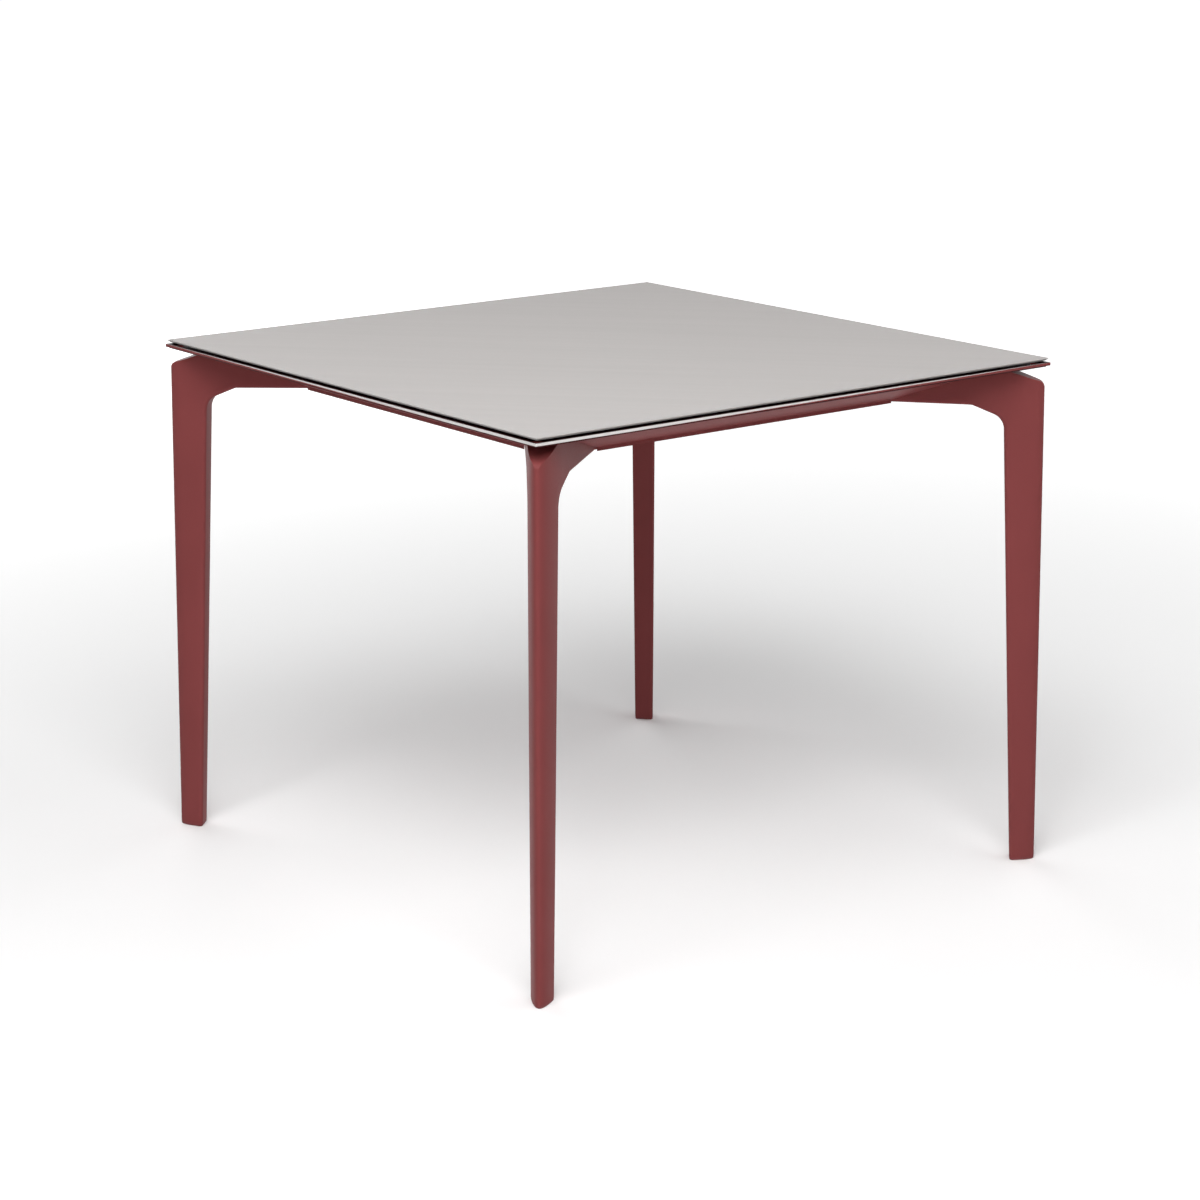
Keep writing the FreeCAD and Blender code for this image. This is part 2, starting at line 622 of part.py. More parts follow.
def make_foot_glide(corner, turn):
    """Make the moulded sole under a leg, with the pin that plugs into the leg."""
    body = new_body(f"foot_glide_{corner}", turn)
    tip = f"({SOLE_REACH} - glide_inset)"
    length = "(foot_depth - 2 * glide_inset)"
    half = f"({nose_half('foot_depth - glide_inset')} - glide_inset)"
    sole = new_sketch(body, "sole", "XY_Plane")
    draw_nose(sole, tip, length, half, [])
    blank = extrude(body, sole, "Pad", "glide_height", "plate")
    heels = [
        f"Edge{number}"
        for number, edge in enumerate(blank.Shape.Edges, start=1)
        if edge.BoundBox.XLength + edge.BoundBox.YLength < EDGE_TOLERANCE
    ]
    plate = body.newObject("PartDesign::Fillet", f"{body.Label}_heels")
    plate.Base = (blank, heels)
    plate.setExpression("Radius", bound("leg_edge_radius - glide_inset"))
    document.recompute()
    bottom = next(
        f"Face{number}"
        for number, face in enumerate(plate.Shape.Faces, start=1)
        if face.BoundBox.ZMax < EDGE_TOLERANCE
    )
    bevel = body.newObject("PartDesign::Chamfer", f"{body.Label}_bevel")
    bevel.Base = (plate, [bottom])
    bevel.setExpression("Size", bound("glide_chamfer"))
    document.recompute()
    pin = new_sketch(body, "pin", "XY_Plane", "glide_height")
    draw_circles(pin, [(f"{SOLE_REACH} - glide_pin_setback", "0")], "glide_pin_radius")
    extrude(body, pin, "Pad", "glide_pin_length", "pin_pad")


def make_corner_bracket(corner, turn):
    """Make the folded plate that ties an arm's end to the two beams beside it."""
    body = new_body(f"corner_bracket_{corner}", turn)
    wing = "(bracket_wing / sqrt(2))"
    step = "(bracket_thick / sqrt(2))"
    fold_x = f"({ARM_END} - bracket_thick)"
    fold_y = f"({ARM_END_HALF} - bracket_thick * (sqrt(2) - 1))"
    half = [
        (ARM_END, ARM_END_HALF),
        (f"{ARM_END} - {wing}", f"{ARM_END_HALF} + {wing}"),
        (f"{ARM_END} - {wing} - {step}", f"{ARM_END_HALF} + {wing} - {step}"),
        (fold_x, fold_y),
    ]
    outline = half + [(x, f"-({y})") for x, y in reversed(half)]
    plan = new_sketch(body, "plan", "XY_Plane", BRACKET_BOTTOM)
    draw_outline(plan, outline)
    extrude(body, plan, "Pad", "bracket_height", "plate")
    bolts = new_sketch(body, "bolt_holes", "YZ_Plane", ARM_END)
    draw_circles(bolts, four_ways(["arm_bolt_spread"], BRACKET_MIDDLE), ARM_BOLT_HOLE)
    extrude(body, bolts, "Pocket", "2 * (bracket_thick + drill_past)", "bolt_cut", symmetric=True)
    wings = new_sketch(body, "screw_holes", "XZ_Plane")
    wings.AttachmentOffset = FreeCAD.Placement(
        FreeCAD.Vector(), FreeCAD.Rotation(FreeCAD.Vector(0, 1, 0), -HALF_TURN_ANGLE / 4)
    )
    wings.setExpression(".AttachmentOffset.Base.x", bound(f"{WALL_LINE} / 2"))
    wings.setExpression(".AttachmentOffset.Base.z", bound(f"-{WALL_LINE} / 2"))
    document.recompute()
    draw_circles(wings, BRACKET_SCREWS, BRACKET_SCREW_HOLE)
    cut = extrude(body, wings, "Pocket", "2 * (bracket_thick + drill_past)", "screw_cut", symmetric=True)
    mirrored = body.newObject("PartDesign::Mirrored", f"{body.Label}_other_wing")
    mirrored.Originals = [cut]
    mirrored.MirrorPlane = (origin_feature(body, "XZ_Plane"), [""])
    body.Tip = mirrored
    document.recompute()


def make_cross_rail(side, sign):
    """Make a tube that spans between the front and back beams under the panel."""
    body = new_body(f"cross_rail_{side}")
    middle = f"({sign}{PANEL_SCREW_PITCH})"
    half = "cross_rail_width / 2"
    section = new_sketch(body, "section", "XZ_Plane")
    draw_outline(
        section,
        rectangle(f"{middle} - {half}", CROSS_RAIL_UNDERSIDE, f"{middle} + {half}", WEB_UNDERSIDE),
    )
    draw_outline(
        section,
        rectangle(
            f"{middle} - {half} + cross_rail_wall",
            f"{CROSS_RAIL_UNDERSIDE} + cross_rail_wall",
            f"{middle} + {half} - cross_rail_wall",
            f"{WEB_UNDERSIDE} - cross_rail_wall",
        ),
    )
    extrude(body, section, "Pad", f"2 * ({WALL_FACE} - cross_rail_play)", "tube", symmetric=True)
    pitch = "cross_rail_screw_pitch / 2"
    centres = [
        (f"{middle} {offset} {pitch}", f"{end}{PANEL_SCREW_Y}")
        for offset in ("-", "+")
        for end in ("", "-")
    ]
    upright_holes(body, "screw_holes", centres, SCREW_HOLE)


def make_rail_strip(side, sign):
    """Make the rubber strip that fills the space between a cross rail and the panel."""
    body = new_body(f"rail_strip_{side}")
    middle = f"({sign}{PANEL_SCREW_PITCH})"
    half_width = "rail_strip_width / 2"
    half_length = f"({HALF_SIDE} - {WEB_WIDTH} - rail_strip_end_gap)"
    plan = new_sketch(body, "plan", "XY_Plane", WEB_UNDERSIDE)
    draw_outline(
        plan,
        rectangle(
            f"{middle} - {half_width}", f"-{half_length}", f"{middle} + {half_width}", half_length
        ),
    )
    extrude(body, plan, "Pad", f"{PANEL_UNDERSIDE} - {WEB_UNDERSIDE}", "strip")


def around_table(body, features):
    """Repeat features of the front side or one corner on all four."""
    pattern = body.newObject("PartDesign::PolarPattern", f"{body.Label}_around")
    pattern.Originals = features
    pattern.Axis = (origin_feature(body, "Z_Axis"), [""])
    pattern.Angle = 2 * HALF_TURN_ANGLE
    pattern.Occurrences = len(SIDE_ANGLES)
    body.Tip = pattern
    document.recompute()


def make_panel_buttons():
    """Make the rubber buttons between the panel's edge and the web."""
    body = new_body("panel_buttons")
    sketch = new_sketch(body, "plan", "XY_Plane", WEB_TOP)
    draw_circles(sketch, BUTTONS, "button_radius")
    buttons = extrude(body, sketch, "Pad", f"{PANEL_UNDERSIDE} - {WEB_TOP}", "buttons")
    around_table(body, [buttons])


def make_upright_screws(label, centres, seat, head_above, length, every_side=True):
    """Make small screws whose heads sit on the seat height, above it or below it."""
    body = new_body(label)
    heads = new_sketch(body, "heads", "XY_Plane", seat)
    draw_circles(heads, centres, "screw_head_radius")
    head = extrude(body, heads, "Pad", "screw_head_height", "head", backwards=not head_above)
    shanks = new_sketch(body, "shanks", "XY_Plane", seat)
    draw_circles(shanks, centres, "screw_radius")
    shank = extrude(body, shanks, "Pad", length, "shank", backwards=head_above)
    if every_side:
        around_table(body, [head, shank])


def make_bracket_screws():
    """Make the screws that hold the bracket wings to the beams' inner walls."""
    body = new_body("bracket_screws")
    centres = four_ways([x for x, _ in BRACKET_SCREWS], BRACKET_MIDDLE)
    seat = f"{WALL_FACE} - bracket_thick"
    heads = new_sketch(body, "heads", "XZ_Plane", seat)
    draw_circles(heads, centres, "bracket_screw_head_radius")
    head = extrude(body, heads, "Pad", "bracket_screw_head_height", "head", backwards=True)
    shanks = new_sketch(body, "shanks", "XZ_Plane", seat)
    draw_circles(shanks, centres, "bracket_screw_radius")
    length = "bracket_thick + beam_wall + screw_grip"
    shank = extrude(body, shanks, "Pad", length, "shank")
    around_table(body, [head, shank])


def make_arm_bolts():
    """Make the bolts that draw each arm's end against its bracket."""
    body = new_body("arm_bolts", CORNER_ANGLES["back_right"])
    centres = four_ways(["arm_bolt_spread"], BRACKET_MIDDLE)
    seat = f"{ARM_END} - bracket_thick"
    heads = new_sketch(body, "heads", "YZ_Plane", seat)
    draw_circles(heads, centres, "arm_bolt_head_radius")
    head = extrude(body, heads, "Pad", "arm_bolt_head_height", "head", backwards=True)
    shanks = new_sketch(body, "shanks", "YZ_Plane", seat)
    draw_circles(shanks, centres, "arm_bolt_radius")
    shank = extrude(body, shanks, "Pad", "arm_bolt_length", "shank")
    around_table(body, [head, shank])


def check_model():
    """Stop if any feature failed or any sub-part is not a sound solid."""
    for each in document.Objects:
        if {"Invalid", "Error"} & set(each.State):
            raise RuntimeError(f"{each.Label} failed: {each.State}")
    for body in bodies:
        shape = body.Shape
        if shape.isNull() or not shape.isValid() or not shape.Solids:
            raise RuntimeError(f"{body.Label} is not a valid solid")


def write_parts():
    """Write every sub-part to its own file and print what it holds."""
    os.makedirs("parts", exist_ok=True)
    for body in bodies:
        body.Shape.exportStep(f"parts/{body.Label}.step")
        box = body.Shape.BoundBox
        print(f"{body.Label}: {len(body.Shape.Solids)} solid, volume {body.Shape.Volume:.0f},"
              f" z {box.ZMin:.1f} to {box.ZMax:.1f}")


make_top_panel()
for side, turn in SIDE_ANGLES.items():
    make_panel_batten(side, turn)
    make_edge_rail(side, turn)
    make_skirt_beam(side, turn)
for corner, turn in CORNER_ANGLES.items():
    make_leg(corner, turn)
    make_foot_glide(corner, turn)
    make_corner_bracket(corner, turn)
for side, sign in (("left", "-"), ("right", "")):
    make_cross_rail(side, sign)
    make_rail_strip(side, sign)
make_panel_buttons()
make_upright_screws("panel_screws", PANEL_SCREWS, WEB_UNDERSIDE, False, "web_thick + screw_grip")
make_upright_screws("skirt_screws", SKIRT_SCREWS, WEB_TOP, True, "web_thick + beam_wall + screw_grip")
make_upright_screws("arm_screws", ARM_SCREWS_ON_RAIL, WEB_TOP, True, "arm_screw_length")
both_rows = CROSS_RAIL_SCREWS + [(x, f"-{y}") for x, y in CROSS_RAIL_SCREWS]
rail_grip = "cross_rail_height + web_thick + screw_grip"
make_upright_screws("cross_rail_screws", both_rows, CROSS_RAIL_UNDERSIDE, False, rail_grip, False)
make_bracket_screws()
make_arm_bolts()
check_model()
write_parts()
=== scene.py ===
"""Square dining table: a thin pale sheet over a slim rim, sloping skirt beams and four wedge legs.

Every size is in metres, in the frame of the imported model: Z up, the floor at zero, the
front side at -Y and the right side at +X. The front left corner is the near one.
"""

import logging
import math
from collections.abc import Callable
from dataclasses import dataclass, field
from enum import Enum

import bmesh
import bpy
from mathutils import Euler, Matrix, Vector


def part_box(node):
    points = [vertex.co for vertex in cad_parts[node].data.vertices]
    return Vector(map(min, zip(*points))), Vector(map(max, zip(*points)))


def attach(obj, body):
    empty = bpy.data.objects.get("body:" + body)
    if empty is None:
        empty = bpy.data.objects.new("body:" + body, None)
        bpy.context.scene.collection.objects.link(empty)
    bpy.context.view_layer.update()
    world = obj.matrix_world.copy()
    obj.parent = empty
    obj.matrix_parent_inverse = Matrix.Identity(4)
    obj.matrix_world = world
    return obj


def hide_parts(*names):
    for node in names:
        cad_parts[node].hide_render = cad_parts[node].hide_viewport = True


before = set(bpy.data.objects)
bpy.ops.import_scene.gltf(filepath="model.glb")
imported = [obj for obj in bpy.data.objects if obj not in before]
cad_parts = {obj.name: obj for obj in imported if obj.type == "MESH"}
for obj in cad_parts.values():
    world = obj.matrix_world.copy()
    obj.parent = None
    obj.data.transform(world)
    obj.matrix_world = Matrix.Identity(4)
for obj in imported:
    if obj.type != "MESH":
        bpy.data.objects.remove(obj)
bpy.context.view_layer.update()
ROOT = "root"
# A vertex this near to a plane or line counts as lying on it
NEAR = 0.00002
# Vertices of loose triangles this near to each other are one vertex
SAME_POINT = 0.000002
# Triangles that turn by less than this from one to the next are one flat face
FLAT_ANGLE = math.radians(0.2)

log = logging.getLogger("dining_table")

Colour = tuple[float, float, float]
Place = tuple[float, float, float]
Socket = bpy.types.NodeSocket
FaceTest = Callable[[bmesh.types.BMFace], bool]
EdgeTest = Callable[[bmesh.types.BMEdge], bool]
VertexTest = Callable[[bmesh.types.BMVert], bool]

RED: Colour = (0.19, 0.045, 0.045)
WHITE: tuple[float, float, float, float] = (1, 1, 1, 1)


class Side(Enum):
    """The four sides of the table, each with the direction in which it faces."""

    FRONT = (0, -1, 0)
    RIGHT = (1, 0, 0)
    BACK = (0, 1, 0)
    LEFT = (-1, 0, 0)

    @property
    def word(self) -> str:
        """The side's name, as the nodes give it."""
        return self.name.lower()

    @property
    def runs_left_to_right(self) -> bool:
        """Whether the side's pieces run along the table's X axis."""
        return self in (Side.FRONT, Side.BACK)

    @property
    def mirrored(self) -> "Side":
        """The side that mirrors this one across the diagonal through the near corner."""
        return Side((self.value[1], self.value[0], self.value[2]))


class Corner(Enum):
    """The four corners of the table, seen from above."""

    FRONT_LEFT = "front_left"
    FRONT_RIGHT = "front_right"
    BACK_RIGHT = "back_right"
    BACK_LEFT = "back_left"


class Slot(Enum):
    """The record's material slots."""

    PALE_COAT = "pale_coat"
    RED_COAT = "red_coat"
    BARE_ALUMINIUM = "bare_aluminium"
    RED_PLASTIC = "red_plastic"
    BLACK_RUBBER = "black_rubber"
    ZINC_STEEL = "zinc_steel"


class HeadAim(Enum):
    """Which way the heads of a set of screws or bolts point."""

    UP = "up"
    DOWN = "down"
    INWARD = "inward, square to the side"
    INWARD_DIAGONAL = "inward, along the diagonal"

    def direction(self, place: Vector) -> Vector:
        """Return the direction in which a head at a place points.

        Args:
            place: any point of the screw or bolt.

        Returns:
            A direction of length one.
        """
        if self is HeadAim.UP:
            return Vector((0, 0, 1))
        if self is HeadAim.DOWN:
            return Vector((0, 0, -1))
        if self is HeadAim.INWARD_DIAGONAL:
            return Vector((-math.copysign(1, place.x), -math.copysign(1, place.y), 0)).normalized()
        if abs(place.x) > abs(place.y):
            return Vector((-math.copysign(1, place.x), 0, 0))
        return Vector((0, -math.copysign(1, place.y), 0))


def lighter(colour: Colour, share: float) -> Colour:
    """Return a colour made lighter, or darker for a negative share."""
    return tuple(each * (1 + share) for each in colour)


class NodeGraph:
    """A node tree, with short calls to add and join nodes."""

    def __init__(self, tree: bpy.types.NodeTree, output: str) -> None:
        """Empty a node tree, but for one new output node.

        Args:
            tree: the node tree of a material or of the surroundings.
            output: the type name of its output node.
        """
        self.tree = tree
        self.tree.nodes.clear()
        self.output = self.tree.nodes.new(output)

    def add(
        self, kind: str, inputs: dict[str | int, object] | None = None, **settings: object
    ) -> bpy.types.Node:
        """Add a node.

        Args:
            kind: the node's type name.
            inputs: values for its input sockets, by socket name or number.
            settings: values for its own properties.

        Returns:
            The new node.
        """
        node = self.tree.nodes.new(kind)
        for name, value in settings.items():
            setattr(node, name, value)
        for socket, value in (inputs or {}).items():
            node.inputs[socket].default_value = value
        return node

    def join(self, source: Socket, target: Socket) -> None:
        """Join an output socket to an input socket."""
        self.tree.links.new(source, target)

    def place(self) -> Socket:
        """Return the object's own coordinates."""
        return self.add("ShaderNodeTexCoord").outputs["Object"]

    def noise(
        self, scale: float, detail: float, stretch: Place = (1, 1, 1), turn: float = 0.0
    ) -> Socket:
        """Add a noise that lies in the object's own coordinates.

        Args:
            scale: waves to a metre.
            detail: how many octaves it has.
            stretch: how many times longer its waves are on the three axes, after the turn.
            turn: angle about the upright axis, in radians.

        Returns:
            The noise's factor.
        """
        mapping = self.add("ShaderNodeMapping", vector_type="TEXTURE")
        mapping.inputs["Rotation"].default_value = (0, 0, turn)
        mapping.inputs["Scale"].default_value = stretch
        self.join(self.place(), mapping.inputs["Vector"])
        noise = self.add("ShaderNodeTexNoise", {"Scale": scale, "Detail": detail})
        self.join(mapping.outputs["Vector"], noise.inputs["Vector"])
        return noise.outputs["Fac"]

    def spread(
        self, factor: Socket, low: float, high: float, start: float = 0.3, end: float = 0.7
    ) -> Socket:
        """Map a factor's range, by default the middle of a noise, to another range.

        Args:
            factor: the factor.
            low: what its start becomes.
            high: what its end becomes.
            start: where its range starts.
            end: where its range ends.

        Returns:
            The mapped value.
        """
        node = self.add(
            "ShaderNodeMapRange", {"From Min": start, "From Max": end, "To Min": low, "To Max": high}
        )
        self.join(factor, node.inputs["Value"])
        return node.outputs["Result"]

    def vary(self, factor: Socket, middle: float, play: float) -> Socket:
        """Return a value that a noise moves to either side of a middle."""
        return self.spread(factor, middle - play, middle + play)

    def blend(self, factor: Socket, first: Colour, second: Colour) -> Socket:
        """Blend two colours by a noise.

        Args:
            factor: the noise.
            first: the colour where it is low.
            second: the colour where it is high.

        Returns:
            The blended colour.
        """
        node = self.add("ShaderNodeMix", data_type="RGBA")
        node.inputs["A"].default_value = (*first, 1)
        node.inputs["B"].default_value = (*second, 1)
        self.join(self.spread(factor, 0.0, 1.0), node.inputs["Factor"])
        return node.outputs["Result"]

    def tint(self, factor: Socket, colour: Colour, share: float) -> Socket:
        """Return a colour that a noise makes darker and lighter by a share."""
        return self.blend(factor, lighter(colour, -share), lighter(colour, share))

    def overlay(self, under: Socket, colour: Colour, *where: Socket) -> Socket:
        """Lay a colour over another.

        Args:
            under: the colour below.
            colour: the colour on top.
            where: two factors of 0 or 1. The colour is laid where both are 1.

        Returns:
            The resulting colour.
        """
        node = self.add("ShaderNodeMix", data_type="RGBA")
        node.inputs["B"].default_value = (*colour, 1)
        self.join(under, node.inputs["A"])
        self.join(self.reckon("MULTIPLY", *where), node.inputs["Factor"])
        return node.outputs["Result"]

    def along(self, direction: Place) -> Socket:
        """Measure how far a point lies along a direction from the table's middle, at the floor.

        Args:
            direction: a direction of length one.

        Returns:
            The distance, in metres.
        """
        node = self.add("ShaderNodeVectorMath", {1: direction}, operation="DOT_PRODUCT")
        self.join(self.place(), node.inputs[0])
        return node.outputs["Value"]

    def reckon(self, operation: str, first: Socket, second: Socket | float) -> Socket:
        """Work out a sum, product or comparison.

        Args:
            operation: the name of a Math node's operation.
            first: its first value.
            second: its second value, a socket or a plain number.

        Returns:
            The outcome.
        """
        node = self.add("ShaderNodeMath", operation=operation)
        self.join(first, node.inputs[0])
        if isinstance(second, Socket):
            self.join(second, node.inputs[1])
        else:
            node.inputs[1].default_value = second
        return node.outputs["Value"]

    def bump(self, height: Socket, strength: float, depth: float) -> Socket:
        """Turn a height into a bumped normal.

        Args:
            height: the height, from 0 to 1.
            strength: how much of the bump is used.
            depth: the height of a full step, in metres.

        Returns:
            The normal.
        """
        node = self.add("ShaderNodeBump", {"Strength": strength, "Distance": depth})
        self.join(height, node.inputs["Height"])
        return node.outputs["Normal"]


class MaterialGraph(NodeGraph):
    """The node tree of a new material."""

    def __init__(self, name: str) -> None:
        """Start a material that has only its output.

        Args:
            name: the material's name.
        """
        self.material = bpy.data.materials.new(name)
        self.material.use_nodes = True
        super().__init__(self.material.node_tree, "ShaderNodeOutputMaterial")

    def finish(self, shader: bpy.types.Node) -> bpy.types.Material:
        """Join a shader to the output and return the material."""
        self.join(shader.outputs[0], self.output.inputs["Surface"])
        return self.material

    def surface(
        self, constants: dict[str, float], colour: Socket, roughness: Socket, normal: Socket
    ) -> bpy.types.Material:
        """Finish the material with an opaque surface.

        Args:
            constants: values that are the same all over, by socket name.
            colour: the surface's colour.
            roughness: its roughness.
            normal: its bumped normal.

        Returns:
            The finished material.
        """
        shader = self.add("ShaderNodeBsdfPrincipled", constants)
        self.join(colour, shader.inputs["Base Color"])
        self.join(roughness, shader.inputs["Roughness"])
        self.join(normal, shader.inputs["Normal"])
        return self.finish(shader)


@dataclass(frozen=True)
class PowderCoat:
    """A baked powder coat: one colour with faint clouds and a fine orange peel."""

    name: str
    colour: Colour
    roughness: float = 0.42
    roughness_spread: float = 0.04
    gloss: float = 0.055
    cloud_share: float = 0.035
    clouds_a_metre: float = 9.0
    cloud_detail: float = 3.0
    peel_a_metre: float = 620.0
    peel_detail: float = 2.0
    peel_depth: float = 0.00005
    peel_strength: float = 0.22

    def colour_socket(self, graph: NodeGraph) -> Socket:
        """Return the coat's clouded colour."""
        clouds = graph.noise(self.clouds_a_metre, self.cloud_detail)
        return graph.tint(clouds, self.colour, self.cloud_share)

    def build(self) -> bpy.types.Material:
        """Build the coat.

        Returns:
            The coat's material.
        """
        graph = MaterialGraph(self.name)
        peel = graph.noise(self.peel_a_metre, self.peel_detail)
        return graph.surface(
            {"Specular IOR Level": self.gloss},
            self.colour_socket(graph),
            graph.vary(peel, self.roughness, self.roughness_spread),
            graph.bump(peel, self.peel_strength, self.peel_depth),
        )


@dataclass(frozen=True)
class TwoToneRim(PowderCoat):
    """The rail's coat: red, with a pale band on the rim's outer face over one long slanting line.

    The channel behind the rim is painted black as shade, and painted shade darkens the groove under
    the rim and its foot.
    """

    side: Side = Side.FRONT
    # The side on which the whole height of the rim is pale
    starts_at: Side = Side.LEFT
    pale: Colour = (0.6, 0.58, 0.57)
    # Painted shade: the black that fills the channel behind the rim's outer face
    channel: Colour = (0.016, 0.001, 0.001)
    # Painted shade: the dark in the groove under the rim and at the rim's foot
    grime: Colour = (0.055, 0.014, 0.014)
    # How high the rim's foot is above the floor, how high the rim is, and half the table's side
    foot: float = 0.0
    height: float = 0.0
    half_length: float = 0.0
    # Behind the rim's outer face all is painted black as shade from the first height, and below the
    # second is painted dark shade, both counted from the rim's foot
    channel_rise: float = 0.0013
    grime_rise: float = 0.0009
    # How far in from the table's side the groove goes, and the outer face with its soft edges
    groove_depth: float = 0.0045
    face_depth: float = 0.0004

    def colour_socket(self, graph: NodeGraph) -> Socket:
        """Return the red coat, with the pale band and the painted black and dark shade laid over it.

        Args:
            graph: the coat's node tree.

        Returns:
            The coat's colour.
        """
        rise = graph.reckon("SUBTRACT", graph.along((0, 0, 1)), self.foot)
        reach = graph.along(self.side.value)
        outside = graph.reckon("GREATER_THAN", reach, self.half_length - self.face_depth)
        inside = graph.reckon("LESS_THAN", reach, self.half_length - self.face_depth)
        near_face = graph.reckon("GREATER_THAN", reach, self.half_length - self.groove_depth)
        high = graph.reckon("GREATER_THAN", rise, self.channel_rise)
        low = graph.reckon("LESS_THAN", rise, self.grime_rise)
        away = tuple(-each for each in self.starts_at.value)
        run = graph.reckon("ADD", graph.along(away), self.half_length)
        run_share = graph.reckon("DIVIDE", run, 2 * self.half_length)
        rise_share = graph.reckon("DIVIDE", rise, self.height)
        above_line = graph.reckon("GREATER_THAN", rise_share, run_share)
        banded = graph.overlay(super().colour_socket(graph), self.pale, above_line, outside)
        # Paint the channel behind the rim black, as shade
        with_channel_shade = graph.overlay(banded, self.channel, high, inside)
        # Paint the groove under the rim and the rim's foot dark, as shade
        return graph.overlay(with_channel_shade, self.grime, low, near_face)


@dataclass(frozen=True)
class StreakedSheet:
    """The top's pale coat, with faint long streaks that run across it on a slant."""

    name: str
    colour: Colour
    roughness: float = 0.55
    roughness_spread: float = 0.022
    gloss: float = 0.02
    streak_share: float = 0.022
    streaks_a_metre: float = 60.0
    streak_detail: float = 3.0
    streak_length: float = 26.0
    streak_turn: float = math.radians(-47)
    peel_a_metre: float = 900.0
    peel_detail: float = 2.0
    peel_depth: float = 0.00003
    peel_strength: float = 0.2

    def build(self) -> bpy.types.Material:
        """Build the sheet's coat.

        Returns:
            The coat's material.
        """
        graph = MaterialGraph(self.name)
        stretch = (self.streak_length, 1, 1)
        streaks = graph.noise(self.streaks_a_metre, self.streak_detail, stretch, self.streak_turn)
        peel = graph.noise(self.peel_a_metre, self.peel_detail)
        return graph.surface(
            {"Specular IOR Level": self.gloss},
            graph.tint(streaks, self.colour, self.streak_share),
            graph.vary(streaks, self.roughness, self.roughness_spread),
            graph.bump(peel, self.peel_strength, self.peel_depth),
        )


@dataclass(frozen=True)
class DrawnAluminium:
    """Bare drawn aluminium, with fine lines along the bar."""

    name: str
    left_to_right: bool
    colour: Colour = (0.72, 0.72, 0.74)
    shade_share: float = 0.05
    roughness: float = 0.36
    roughness_spread: float = 0.07
    lines_a_metre: float = 900.0
    line_detail: float = 3.0
    line_length: float = 60.0
    line_depth: float = 0.00002
    line_strength: float = 0.3

    def build(self) -> bpy.types.Material:
        """Build the bare metal.

        Returns:
            The metal's material.
        """
        graph = MaterialGraph(self.name)
        stretch = (self.line_length, 1, 1) if self.left_to_right else (1, self.line_length, 1)
        lines = graph.noise(self.lines_a_metre, self.line_detail, stretch)
        return graph.surface(
            {"Metallic": 1.0},
            graph.tint(lines, self.colour, self.shade_share),
            graph.vary(lines, self.roughness, self.roughness_spread),
            graph.bump(lines, self.line_strength, self.line_depth),
        )


@dataclass(frozen=True)
class ZincPlate:
    """Bright zinc on steel, with a faint blue and straw bloom and small dull patches."""

    name: str
    blue: Colour = (0.56, 0.58, 0.63)
    straw: Colour = (0.63, 0.61, 0.56)
    roughness: float = 0.34
    roughness_spread: float = 0.08
    bloom_a_metre: float = 45.0
    bloom_detail: float = 2.0
    grain_a_metre: float = 1500.0
    grain_detail: float = 3.0
    grain_depth: float = 0.00002
    grain_strength: float = 0.25

    def build(self) -> bpy.types.Material:
        """Build the plating.

        Returns:
            The plating's material.
        """
        graph = MaterialGraph(self.name)
        bloom = graph.noise(self.bloom_a_metre, self.bloom_detail)
        grain = graph.noise(self.grain_a_metre, self.grain_detail)
        return graph.surface(
            {"Metallic": 1.0},
            graph.blend(bloom, self.blue, self.straw),
            graph.vary(grain, self.roughness, self.roughness_spread),
            graph.bump(grain, self.grain_strength, self.grain_depth),
        )


@dataclass(frozen=True)
class Moulding:
    """A moulded plastic or rubber with a fine leathery grain and a dusty variation."""

    name: str
    colour: Colour
    roughness: float
    gloss: float
    roughness_spread: float = 0.06
    dust_share: float = 0.12
    dust_a_metre: float = 60.0
    dust_detail: float = 4.0
    grain_a_metre: float = 1100.0
    grain_depth: float = 0.00005
    grain_strength: float = 0.35

    def build(self) -> bpy.types.Material:
        """Build the moulded surface.

        Returns:
            The moulding's material.
        """
        graph = MaterialGraph(self.name)
        dust = graph.noise(self.dust_a_metre, self.dust_detail)
        cells = graph.add("ShaderNodeTexVoronoi", {"Scale": self.grain_a_metre}, feature="SMOOTH_F1")
        graph.join(graph.place(), cells.inputs["Vector"])
        grain = cells.outputs["Distance"]
        return graph.surface(
            {"Specular IOR Level": self.gloss},
            graph.tint(dust, self.colour, self.dust_share),
            graph.vary(grain, self.roughness, self.roughness_spread),
            graph.bump(grain, self.grain_strength, self.grain_depth),
        )


@dataclass
class Finishes:
    """The finishes that several pieces share, each built once."""

    red: bpy.types.Material = field(default_factory=PowderCoat("red_coat", RED).build)
    pale: bpy.types.Material = field(
        default_factory=StreakedSheet("pale_coat", (0.438, 0.419, 0.411)).build
    )
    metal_left_to_right: bpy.types.Material = field(
        default_factory=DrawnAluminium("drawn_aluminium_left_to_right", True).build
    )
    metal_front_to_back: bpy.types.Material = field(
        default_factory=DrawnAluminium("drawn_aluminium_front_to_back", False).build
    )
    zinc: bpy.types.Material = field(default_factory=ZincPlate("zinc_plate").build)
    rubber: bpy.types.Material = field(
        default_factory=Moulding("black_rubber", (0.02, 0.02, 0.02), roughness=0.75, gloss=0.3).build
    )
    plastic: bpy.types.Material = field(
        default_factory=Moulding("red_plastic", (0.17, 0.04, 0.04), roughness=0.55, gloss=0.25).build
    )


